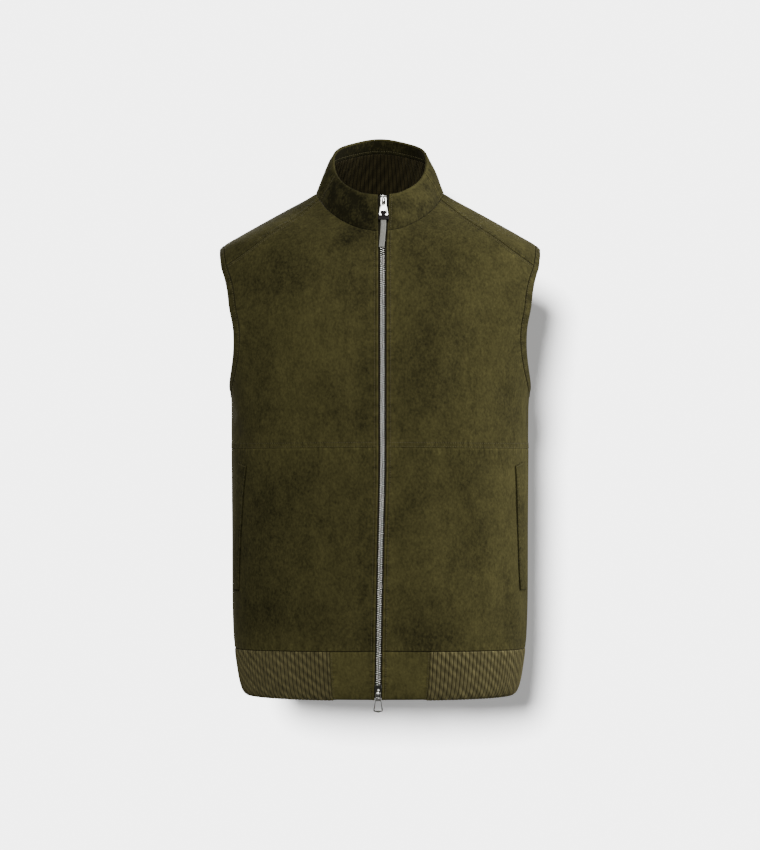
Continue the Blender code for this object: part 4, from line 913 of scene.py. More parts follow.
def finish_with(net: Net, shader: bpy.types.Node, finish: Finish, shade: bpy.types.NodeSocket,
                height: bpy.types.NodeSocket, relief_mm: float) -> None:
    """Feed a shade into the colour and a height in millimetres into a bump."""
    net.tree.links.new(net.scaled(finish.colour, shade), shader.inputs["Base Color"])
    bump = net.node("Bump", {"Height": height, "Distance": relief_mm * MM, "Strength": 1.0})
    net.tree.links.new(bump.outputs[0], shader.inputs["Normal"])


def make_suede(shop: Shop, finish: Finish) -> bpy.types.Material:
    """Brushed suede: nap and mottle, with each piece's painted shade and painted light, and the relief of its
    seams.
    """
    made, net, shader = new_material(finish, sheen=0.12, specular=0.12)
    nap_and_shade = place_group(shop, net, "short_nap", {"Nap and shade": net.attribute("nap_and_shade"), "Contrast": 0.85})
    seam = place_group(shop, net, "seam_relief", {
        word: net.attribute(key) for word, key in (
            ("Gap", "seam_gap"), ("Run", "seam_run"), ("Row one", "row_one"), ("Row two", "row_two"),
            ("Dark", "seam_dark"), ("Clear", "seam_clear"))})
    shade = net.math("MULTIPLY", nap_and_shade.outputs["Shade"], seam.outputs["Shade"])
    height = net.math("ADD", nap_and_shade.outputs["Height"], seam.outputs["Height"])
    finish_with(net, shader, finish, shade, height, 1.0)
    return made


def make_knit(shop: Shop, finish: Finish) -> bpy.types.Material:
    """Rib knit: stitches on the piece's map, darker at the feet of the ribs: painted shade in the valleys
    between them.
    """
    made, net, shader = new_material(finish, sheen=0.12, specular=0.12)
    wale, course = net.map()
    knit = place_group(shop, net, "knit_stitch", {"Wale": wale, "Course": course})
    place = net.place()
    cloud = net.range(net.noise(120.0, 3.0, place), 0.3, 0.7, 0.82, 1.18)
    slant = net.math("ADD", net.math("MULTIPLY", course, 0.62), net.math("MULTIPLY", wale, 1.15))
    tension = net.math("MULTIPLY", net.math("SINE", slant),
                       net.range(net.noise(60.0, 2.0, place), 0.35, 0.65, 0.14, 0.4))
    # The rib mark darkens the ribs' feet: painted shade.
    shade = net.chain("MULTIPLY", knit.outputs["Shade"], cloud,
                      net.range(net.attribute("rib"), 0.0, 0.7, 0.56, 1.13), net.math("ADD", 1.0, tension))
    finish_with(net, shader, finish, shade, knit.outputs["Height"], 0.35)
    return made


def make_woven(shop: Shop, finish: Finish) -> bpy.types.Material:
    """Plain woven tape or strap on the piece's map in millimetres."""
    made, net, shader = new_material(finish, specular=0.25)
    across, up = net.map()
    weave = place_group(shop, net, "plain_weave", {"Across": across, "Up": up, "Pitch": 0.9})
    wear = net.range(net.noise(420.0, 3.0, net.place()), 0.3, 0.7, 0.85, 1.15)
    shade = net.math("MULTIPLY", weave.outputs["Shade"], wear)
    finish_with(net, shader, finish, shade, weave.outputs["Height"], 0.12)
    return made


def make_nickel(shop: Shop, finish: Finish) -> bpy.types.Material:
    """Polished nickel with faint wear in its polish."""
    made, net, shader = new_material(finish, metallic=1.0, specular=0.5)
    wear = net.noise(2600.0, 2.0, net.place())
    wear_and_highlight = net.range(wear, 0.3, 0.7, finish.roughness * 0.85, finish.roughness * 1.2)
    net.tree.links.new(wear_and_highlight, shader.inputs["Roughness"])
    bump = net.node("Bump", {"Height": wear, "Distance": 0.004 * MM, "Strength": 0.5})
    net.tree.links.new(bump.outputs[0], shader.inputs["Normal"])
    return made


def make_hide(shop: Shop, finish: Finish) -> bpy.types.Material:
    """Smooth brown leather with a fine grain."""
    made, net, shader = new_material(finish, specular=0.25)
    grain = net.node("TexVoronoi", {"Vector": net.place(), "Scale": 2600.0})
    shade = net.range(grain.outputs["Distance"], 0.0, 0.7, 1.2, 0.75)
    finish_with(net, shader, finish, shade, grain.outputs["Distance"], -0.04)
    return made


def make_thread(shop: Shop, finish: Finish) -> bpy.types.Material:
    """Twisted sewing thread."""
    made, net, shader = new_material(finish, specular=0.3)
    twist = net.noise(1500.0, 1.0, net.place())
    finish_with(net, shader, finish, net.range(twist, 0.3, 0.7, 0.75, 1.25), twist, 0.1)
    return made


MAKERS: dict[str, Callable[[Shop, Finish], bpy.types.Material]] = {
    SUEDE.name: make_suede, RIB.name: make_knit, LINING.name: make_knit, TAPE.name: make_woven,
    STRAP.name: make_woven, NICKEL.name: make_nickel, DARK_NICKEL.name: make_nickel, HIDE.name: make_hide,
    THREAD.name: make_thread}


class Stitching:
    """Sewn stitches: short capsules laid end to end along rows, joined into one mesh a section."""

    length = 2.4
    pitch = 3.1
    radius = 0.38
    stations = (0.0, 0.1, 0.35, 0.65, 0.9, 1.0)
    girths = (0.25, 0.75, 1.0, 1.0, 0.75, 0.25)
    sides = 6

    def __init__(self) -> None:
        """Start with no row."""
        self.rows: list[Array] = []

    def capsule(self) -> Array:
        """Points of one stitch: rings that swell and rise from its sunk ends to its middle."""
        along = (np.array(self.stations) - 0.5) * self.length
        angle = np.arange(self.sides) * math.tau / self.sides
        girth = np.array(self.girths) * self.radius
        sink = -0.42 * (1.0 - np.array(self.girths)) * self.radius * 2.0
        x = np.broadcast_to(along[:, None], (len(along), self.sides))
        y = girth[:, None] * np.cos(angle)
        z = girth[:, None] * np.sin(angle) + sink[:, None]
        return np.stack([x, y, z], -1).reshape(-1, 3)

    def add_row(self, points: Array, normals: Array) -> None:
        """Stitches along a dense line of points: each turned to the line and the surface there."""
        run = run_of(points)
        count = int((run[-1] - 1.0) / self.pitch)
        at = (run[-1] - (count - 1) * self.pitch) / 2.0 + np.arange(count) * self.pitch
        middle, ahead, behind = (carried(at + step, run, points) for step in (0.0, 0.8, -0.8))
        up, along = unit(carried(at, run, normals)), unit(ahead - behind)
        self.rows.append(copies(middle, (along, unit(np.cross(up, along)), up), self.capsule()))

    def make(self, name: str, shop: Shop) -> None:
        """Join the rows into one mesh."""
        points = np.concatenate(self.rows)
        count, size = points.shape[:2]
        quads = grid_quads(len(self.stations), self.sides, closed=True)[:, ::-1]
        caps = np.array([list(range(self.sides))[::-1], list(range(size - self.sides, size))])[:, ::-1]
        faces = repeated(quads, count, size) + repeated(caps, count, size)
        shop.dress(new_object(name, points.reshape(-1, 3), faces), THREAD)


SUEDE_MARKS = ("seam_gap", "seam_run", "row_one", "row_two", "seam_dark", "seam_clear", "nap_and_shade")


@dataclass
class ClothPiece:
    """One cut piece of suede: patches of one surface, with its seams and their stitch rows."""

    node: str
    patches: list[Patch]
    seams: list[Seam]
    inside: tuple[float, float]
    tone: float = 0.0
    flip: bool = False
    wall: float = 1.8
    base_lift: float = 0.0
    near: float = 16.0
    ridge_at: float = 1.7
    groove_at: float = 3.5

    def measures(self, points: Array) -> dict[str, Array]:
        """For each point: the distance to the nearest seam, the run along it, and that seam's make."""
        count = len(points)
        gap, run, second = np.full(count, FAR), np.zeros(count), np.full(count, FREE_EDGE)
        one, two = np.full(count, NO_ROW), np.full(count, NO_ROW)
        band, roll = np.zeros(count), np.full(count, Fold.SEAM.value)
        depth, dark, light = np.full(count, self.wall / 2.0), np.ones(count), np.zeros(count)
        for k, seam in enumerate(self.seams):
            low = seam.path.points.min(axis=0) - self.near
            high = seam.path.points.max(axis=0) + self.near
            close = np.flatnonzero(np.all((points > low) & (points < high), axis=1))
            distance, along = seam.path.gap_to(points[close])
            if seam.raised:
                last = max(seam.rows, default=5.0) + 0.8
                rise = smooth_step(distance, 0.2, 1.2) * (1.0 - smooth_step(distance, last - 1.0, last + 1.0))
                band[close] = np.maximum(band[close], seam.raised * rise)
            # Lighter on the ridge beside each seam: partly rubbed nap, partly a painted highlight.
            light[close] += seam.wear_and_highlight * bell(distance, 1.5, 1.1)
            # Beside a raised turned edge, a darker groove: painted shade.
            if seam.fold is Fold.TURNED and seam.raised:
                ridge, groove = bell(distance, self.ridge_at, 1.0), bell(distance, self.groove_at, 0.7)
                band[close] += 0.35 * ridge - 0.4 * groove
                light[close] -= 0.7 * groove
            nearest = distance < gap[close]
            second[close] = np.where(nearest, gap[close], np.minimum(second[close], distance))
            pick = close[nearest]
            gap[pick], run[pick] = distance[nearest], along[nearest] + RUN_STEP * k
            one[pick], two[pick] = (*seam.rows, NO_ROW, NO_ROW)[:2]
            roll[pick], depth[pick], dark[pick] = seam.fold.value, seam.depth, seam.dark
        return {"seam_gap": gap, "seam_run": run, "row_one": one, "row_two": two, "band": band,
                "roll": roll, "depth": depth, "light": light, "seam_dark": dark,
                "seam_clear": smooth_step(second - gap, 4.5, 8.0)}

    def grids(self) -> list[tuple[Array, Array]]:
        """Parameters of each patch's points, with columns that run round the body with its turns."""
        made = []
        for patch in self.patches:
            wide = (patch.bottom.length + patch.top.length) / 2.0
            tall = (patch.start.length + patch.end.length) / 2.0
            u, v = patch.at(spread(wide), spread(tall))
            made.append((u[:, ::-1], v[:, ::-1]) if self.flip else (u, v))
        return made

    def build(self, form: GarmentForm, shop: Shop, stitching: Stitching) -> None:
        """Make the wall: its sides lifted along the normals, rounded at seams, raised where sewn."""
        surface = form.body
        points, quads, flat, marks, offset = [], [], [], [], 0
        for u, v in self.grids():
            base, normal = surface.place(u, v), surface.normal(u, v)
            found = self.measures(base.reshape(-1, 3))
            gap, band, roll, depth = (found[key].reshape(u.shape)
                                      for key in ("seam_gap", "band", "roll", "depth"))
            dip = rounding(gap, 2.0, roll)
            outer = base + normal * (self.base_lift + band - dip * depth)[..., None]
            inner = base + normal * (self.base_lift - self.wall + dip * (self.wall - depth))[..., None]
            one_points, one_quads, source = double_wall(outer, inner)
            # The nap mark sums the patches, the piece's tone and the ridge and groove marks: the suede's own
            # mottle and rubbed edges, with painted shade and painted light.
            found["nap_and_shade"] = (form.soft_sum(NAP_AND_SHADE_PATCHES, u, v) + self.tone).ravel() - found["light"]
            points.append(one_points)
            quads.append(one_quads + offset)
            marks.append({key: found[key][source] for key in SUEDE_MARKS})
            offset += len(one_points)
            flat.append(flat_size(base))
        wide, tall, area = max(f[0] for f in flat), max(f[1] for f in flat), sum(f[2] for f in flat)
        shop.cloth("suede_" + self.node, (np.concatenate(points), np.concatenate(quads), np.s_[:]), SUEDE,
                   self.node, (wide, tall, min(area, wide * tall * 0.999)),
                   {key: np.concatenate([m[key] for m in marks]) for key in SUEDE_MARKS})
        self.sew(surface, stitching)

    def sew(self, surface: Surface, stitching: Stitching) -> None:
        """Lay the stitch rows: each seam's line moved into the piece by the row's distance."""
        for seam in self.seams:
            for row in seam.rows:
                count = max(16, int(seam.path.length / 2.0))
                u, v = seam.path.at(np.linspace(0.0, 1.0, count))
                line = surface.place(u, v)
                tangent = unit(np.gradient(line, axis=0))
                inward = unit(np.cross(surface.normal(u, v), tangent))
                to_middle = surface.place(*(np.array(p, float) for p in self.inside)) - line
                if np.sum(inward * to_middle) < 0:
                    inward = -inward
                row_u, row_v = surface.shifted(u, v, inward * row)
                normal = surface.normal(row_u, row_v)
                lift = self.base_lift + seam.raised * 0.8
                stitching.add_row(surface.place(row_u, row_v) + normal * lift, normal)


@dataclass
class Panels:
    """The suede body panels, the yoke over the shoulders and the armhole bands."""

    form: GarmentForm
    shop: Shop
    zip_row: float = 5.2
    waist_rows: tuple[float, ...] = (1.6, 6.4)
    shoulder_rows: tuple[float, ...] = (1.8, 4.4)
    band_row: float = 1.6
    band_hem: float = 1.8
    band_columns: int = 220
    steps: int = 120

    def line(self, turns: Array, heights: Array) -> Path:
        """A line on the body."""
        return Path(self.form.body, turns, heights)

    def spaced(self, start: float, end: float) -> Array:
        """Dense values from one end to the other."""
        return np.linspace(start, end, self.steps)

    def upright(self, turn: float, low: float, high: float) -> Path:
        """A line straight up or down the body."""
        return self.line(np.full(self.steps, turn), self.spaced(low, high))

    def zip_edge(self, side: int, low: float, high: float) -> Path:
        """A front panel's edge beside the zip, from one height to another."""
        z = self.spaced(low, high)
        return self.line(self.form.front_edge(side, z), z)

    def level(self, height: Callable[[Array], Array], start: float, end: float) -> Path:
        """A seam from one turn to another, its height given by its turn."""
        turns = self.spaced(start, end)
        return self.line(turns, height(turns))

    def fronts(self, side: int, stitching: Stitching) -> None:
        """Upper and lower front of one side, from the zip to the side seam."""
        form, far = self.form, side * self.form.side_turn
        corner = form.neck_corner(side)
        zip_up = self.zip_edge(side, form.waist_front, float(form.neck_height(abs(corner))))
        around = self.spaced(corner, side * form.shoulder_turn)
        neck_turns = form.neck_body_turn(around)
        neck_turns[0] = zip_up.u[-1]
        neck = self.line(neck_turns, form.neck_height(np.abs(around)))
        turn, height = form.shoulder_line()
        shoulder = self.line(side * turn, height)
        ring = form.armhole(form.armhole_seam, self.spaced(-90.0, form.shoulder_end))
        armhole = self.line(side * ring[0], ring[1])
        side_up = self.upright(far, form.waist_side, ring[1][0])
        waist = self.level(form.waist_height, float(form.front_edge(side, form.waist_front)), far)
        zip_low = self.zip_edge(side, form.hem_front, form.waist_front)
        side_low = self.upright(far, form.hem_side, form.waist_side)
        hem = self.level(form.hem_height, float(form.front_edge(side, form.hem_front)), far)
        ClothPiece(
            f"front_{SIDES[side]}_upper", [Patch(waist, neck.plus(shoulder), zip_up, side_up.plus(armhole))],
            [Seam(zip_up, (self.zip_row,), 0.35, Fold.TURNED, wear_and_highlight=0.9), Seam(neck, depth=0.6, dark=0.5),
             Seam(shoulder), Seam(armhole), Seam(side_up),
             Seam(waist, self.waist_rows, 0.3, depth=0.25, dark=0.0, wear_and_highlight=1.0)],
            (side * 40.0, -220.0), -0.12, side < 0).build(form, self.shop, stitching)
        ClothPiece(
            f"front_{SIDES[side]}_lower", [Patch(hem, waist, zip_low, side_low)],
            [Seam(zip_low, (self.zip_row,), 0.35, Fold.TURNED, wear_and_highlight=0.9),
             Seam(waist, depth=0.25, dark=0.1, wear_and_highlight=0.5), Seam(side_low), Seam(hem, (), 0.25)],
            (side * 45.0, -460.0), -0.18, side < 0).build(form, self.shop, stitching)

    def back(self, stitching: Stitching) -> None:
        """The back: its main patch, and a yoke patch over each shoulder to the forward seam."""
        form = self.form
        side, far = form.side_turn, 360.0 - form.side_turn
        hem = self.level(form.hem_height, side, far)
        ring = form.armhole(form.armhole_seam, self.spaced(270.0, 90.0))
        seams = [self.upright(t, form.hem_side, ring[1][0]) for t in (side, far)]
        armholes = [self.line(t, ring[1]) for t in (ring[0], 360.0 - ring[0])]
        top_z, neck_z = float(ring[1][-1]), float(form.neck_height(90.0))
        ridges = [self.upright(*row) for row in ((side, top_z, neck_z), (far, neck_z, top_z))]
        around = self.spaced(90.0, 270.0)
        neck = self.line(form.neck_body_turn(around) % 360.0, form.neck_height(np.abs(wrapped(around, 0.0))))
        patches = [Patch(hem, ridges[0].plus(neck, ridges[1]), *(s.plus(a) for s, a in zip(seams, armholes)))]
        turn, height = form.shoulder_line()
        extra = []
        for sign, base in ((1, 0.0), (-1, 360.0)):
            shoulder = self.line(base + sign * turn, height)
            near_neck = self.spaced(form.shoulder_turn, 90.0)
            short = self.line(base + sign * form.neck_body_turn(near_neck), form.neck_height(near_neck))
            arc = form.armhole(form.armhole_seam, self.spaced(form.shoulder_end, 90.0))
            arm = self.line(base + sign * arc[0], arc[1])
            ridge = self.upright(base + sign * side, neck_z, top_z)
            ends = (shoulder, ridge) if sign > 0 else (ridge, shoulder)
            levels = (Path(form.body, p.u[::sign], p.v[::sign]) for p in (short, arm))
            patches.append(Patch(*levels, *ends))
            extra += [Seam(shoulder, self.shoulder_rows, 0.4, wear_and_highlight=0.7), Seam(short, depth=0.6, dark=0.5),
                      Seam(arm)]
        ClothPiece("back", patches, [Seam(hem, (), 0.25), *(Seam(line) for line in (*seams, *armholes)),
                                     Seam(neck, depth=0.6, dark=0.5), *extra],
                   (180.0, -300.0), 0.06).build(form, self.shop, stitching)

    def band(self, side: int, stitching: Stitching) -> None:
        """Strip round an armhole, its free edge turned in, with two stitch rows."""
        form, node = self.form, f"armhole_band_{SIDES[side]}"
        degrees = np.arange(self.band_columns) * 360.0 / self.band_columns
        seam, edge = (form.armhole(r, degrees) for r in (form.armhole_seam, form.armhole_edge))

        def between(at: Array) -> tuple[Array, Array]:
            """Turn and height at shares of the way from the seam to the edge."""
            return side * (seam[0] * (1 - at) + edge[0] * at), seam[1] * (1 - at) + edge[1] * at

        share = np.concatenate([[0.0, 0.04, 0.09, 0.15], np.linspace(0.2, 0.8, 9),
                                [0.85, 0.91, 0.96, 1.0]])[:, None]
        turn, z = (values[:, ::-side] for values in between(share))
        base, normal = form.body.place(turn, z), form.body.normal(turn, z)
        from_seam = run_of(base)
        wide = from_seam[-1:]
        gap = np.minimum(from_seam, wide - from_seam)
        puff = 0.28 * np.sin(np.clip(from_seam / wide, 0.0, 1.0) * math.pi)
        dip = rounding(gap, 1.8, 1.2)
        outer = base + normal * (puff + 0.15 - dip)[..., None]
        inner = base + normal * (-1.8 + dip)[..., None]
        close_rims(outer, inner, base - normal * 0.9, RIMS[:2])
        marks = {"seam_gap": from_seam, "seam_run": run_of(base[0])[None, :] + 0 * from_seam,
                 "row_one": np.full_like(gap, self.band_row),
                 "row_two": wide - self.band_hem + 0 * from_seam,
                 "seam_dark": np.ones_like(gap), "seam_clear": np.ones_like(gap),
                 "nap_and_shade": form.soft_sum(NAP_AND_SHADE_PATCHES, turn, z) + 0.15}
        self.shop.cloth("suede_" + node, double_wall(outer, inner, closed=True), SUEDE, node,
                        flat_size(np.concatenate([base, base[:, :1]], axis=1)), marks)
        for wanted in (self.band_row + 0 * wide[0], wide[0] - self.band_hem):
            at = np.array([np.interp(w, from_seam[:, k], share[:, 0]) for k, w in enumerate(wanted)])
            u, v = (np.append(values, values[0]) for values in between(at))
            row_normal = form.body.normal(u, v)
            stitching.add_row(form.body.place(u, v) + row_normal * 0.3, row_normal)

    def tab(self, side: int, stitching: Stitching) -> None:
        """Suede tab between the zip and the rib, its bottom edge turned under."""
        form, end = self.form, self.form.tab_end(side)
        zip_edge = self.zip_edge(side, form.hem_bottom, form.hem_front)
        rib_edge = self.upright(end, form.hem_bottom, float(form.hem_height(end)))
        bottom = self.level(lambda turns: np.full_like(turns, form.hem_bottom), float(zip_edge.u[0]), end)
        top = self.level(form.hem_height, float(zip_edge.u[-1]), end)
        # The tabs' tone of -1.25 makes them lighter: painted light, since they face down and would come out
        # darker under the lamps.
        ClothPiece(f"hem_tab_{SIDES[side]}", [Patch(bottom, top, zip_edge, rib_edge)],
                   [Seam(zip_edge, (self.zip_row,), 0.35, Fold.TURNED, wear_and_highlight=0.7), Seam(top),
                    Seam(rib_edge, (2.4,), 0.35), Seam(bottom, (), 0.0, Fold.TURNED)],
                   (side * 12.0, -615.0), -1.25, side < 0).build(form, self.shop, stitching)

    def welt(self, side: int, stitching: Stitching) -> None:
        """Pocket welt: a narrow raised strip whose front edge is topstitched."""
        form, table = self.form, LEFT_WELT if side < 0 else RIGHT_WELT
        low, high, slant, width = table[-1][0], table[0][0], 5.0, 8.0
        z = self.spaced(low, high)
        start = form.turn_at(side * pairs_curve(table)(z), z)
        front = self.line(start, z)
        rear = self.line(start + side * width, z + slant * (z - low) / (high - low))
        share = np.linspace(0.0, 1.0, self.steps)
        bottom = self.line(start[0] + side * width * share, np.full(self.steps, low))
        top = self.line(start[-1] + side * width * share, high + slant * share)
        ClothPiece(f"pocket_welt_{SIDES[side]}", [Patch(bottom, top, front, rear)],
                   [Seam(front, (2.2,), 0.2, Fold.TURNED), Seam(rear), Seam(bottom), Seam(top, (2.2,))],
                   (float(start[50]) + side * 4.0, -430.0), 0.2, side < 0, 1.4, 1.7).build(
                       form, self.shop, stitching)

    def build(self) -> None:
        """Make every suede body piece, with the stitching of each side."""
        for side, word in SIDES.items():
            for name, makers in ((f"front_{word}", (self.fronts, self.tab, self.welt)),
                                 (f"armhole_{word}", (self.band,))):
                stitching = Stitching()
                for make in makers:
                    make(side, stitching)
                stitching.make("stitching_" + name, self.shop)
        stitching = Stitching()
        self.back(stitching)
        stitching.make("stitching_shoulders", self.shop)


@dataclass
class Ribbing:
    """Rib knit: ribs of two wales each, raised over a plain inner side."""

    pitch: float = 5.3
    height: float = 1.1
    wall: float = 2.4
    course: float = 1.25
    stations: int = 1441
    columns: tuple[float, ...] = (0.0, 0.1, 0.19, 0.27, 0.38, 0.5, 0.62, 0.73, 0.81, 0.9)

    def profile(self, share: Array) -> Array:
        """Height across one rib, from 0 to 1: a flat-topped hump with a dip between its two wales."""
        hump = np.clip(1.0 - np.abs(2.0 * share - 1.0) ** 3.0, 0.0, 1.0) ** 1.2
        return hump - 0.22 * np.exp(-((share - 0.5) / 0.06) ** 2)

    def wales(self, share: Array) -> Array:
        """Two wales across the crest of each rib."""
        return np.clip((share - 0.14) / 0.72, 0.0, 1.0) * 2.0

    def wall_piece(self, names: tuple[str, str], finish: Finish, shop: Shop, line: Path,
                   heights: Callable[[Array], Array], outside: bool, lift: float,
                   flatten: tuple[tuple[float, ...], tuple[float, ...]],
                   tuck: Callable[[Array], Array] = np.zeros_like) -> None:
        """Make and dress a ribbed wall.

        Args:
            names: the piece's name and the solid that it stands for.
            finish: what it is made of.
            shop: what dresses it.
            line: the line along which the ribs are evenly spaced, on the surface that it lies on.
            heights: the second parameter's rows for a row of turns.
            outside: whether the ribs are on the outer side.
            lift: distance of the plain side's or ribs' feet side nearest the surface.
            flatten: shares of the height, and how much of the ribs' height is kept there.
            tuck: how far the outer side sinks at each turn, where it goes under another piece.
        """
        ribs = int(round(line.length / self.pitch))
        share = np.array(self.columns)
        at = (np.arange(ribs)[:, None] + share[None, :]).ravel()
        turns = line.at(np.append(at, float(ribs)) / ribs)[0]
        v = heights(turns)
        u = np.broadcast_to(turns[None, :], v.shape)
        base, normal = line.surface.place(u, v), line.surface.normal(u, v)
        keep = np.interp(np.linspace(0.0, 1.0, v.shape[0]), *flatten)[:, None]
        profile = self.profile(np.append(np.tile(share, ribs), 0.0))[None, :]
        rise = self.height * profile * keep
        far = lift - self.wall
        outer_lift = lift - self.height + rise if outside else np.full(v.shape, lift)
        outer_lift = outer_lift - tuck(turns)[None, :]
        inner_lift = np.full(v.shape, far) if outside else far + self.height - rise
        up = run_of(base[:, 0])
        dip = rounding(np.minimum(up, up[-1] - up)[:, None], self.wall - self.height, 1.2)
        outer = base + normal * (outer_lift - dip)[..., None]
        inner = base + normal * (inner_lift + dip)[..., None]
        close_rims(outer, inner, base + normal * ((outer_lift + inner_lift) / 2.0)[..., None])
        wales = np.repeat(np.arange(ribs) * 2.0, len(share)) + np.tile(self.wales(share), ribs)
        across = np.broadcast_to(np.append(wales, ribs * 2.0)[None, :], v.shape)
        courses = np.broadcast_to((up / self.course)[:, None], v.shape)
        shop.cloth(names[0], double_wall(outer, inner), finish, names[1], flat_size(base),
                   {"rib": np.broadcast_to(profile, v.shape)}, (across, courses), "stretched")

    def hem(self, form: GarmentForm, shop: Shop) -> None:
        """Rib knit of the hem, from under one tab round the back to under the other, folded at the bottom."""
        first, last, under = form.tab_end(1), 360.0 + form.tab_end(-1), 0.6
        fine = np.linspace(first - under, last + under, self.stations)
        share = np.concatenate([[0.0, 0.012, 0.03, 0.055], np.linspace(0.09, 0.94, 22), [0.965, 0.985, 1.0]])

        def heights(turns: Array) -> Array:
            """Rows from the fold at the bottom up to the hem seam."""
            up = share[:, None]
            return (form.hem_bottom - 1.0) * (1 - up) + form.hem_height(turns)[None, :] * up

        def tuck(turns: Array) -> Array:
            """Both ends sink to the seam allowance under the tabs."""
            return 2.9 * (1.0 - smooth_step(np.minimum(turns - first, last - turns), -0.2, 0.4))

        self.wall_piece(("rib_hem", "hem_rib"), RIB, shop,
                        Path(form.body, fine, np.full_like(fine, -612.0)), heights, True, self.height,
                        ((0.0, 0.1, 0.2, 0.85, 1.0), (0.75, 1.0, 1.0, 1.0, 0.35)), tuck)

    def lining(self, form: GarmentForm, shop: Shop, collar: Collar) -> None:
        """Rib knit inside the collar, its ribs towards the neck."""
        fine = collar.inner_turns(np.full(self.stations, 0.5), np.linspace(0.0, 1.0, self.stations))
        share = np.linspace(0.0, 1.0, 24)[:, None]

        def heights(turns: Array) -> Array:
            """Rows from just above the neck seam to just under the facing."""
            return 0.03 * (1 - share) + (collar.facing_bottom(turns) + 0.01)[None, :] * share

        self.wall_piece(("rib_collar_lining", "collar_rib_lining"), LINING, shop,
                        Path(form.collar, fine, np.full_like(fine, 0.5)), heights, False, collar.inside,
                        ((0.0, 0.08, 0.9, 1.0), (0.5, 1.0, 1.0, 0.6)))


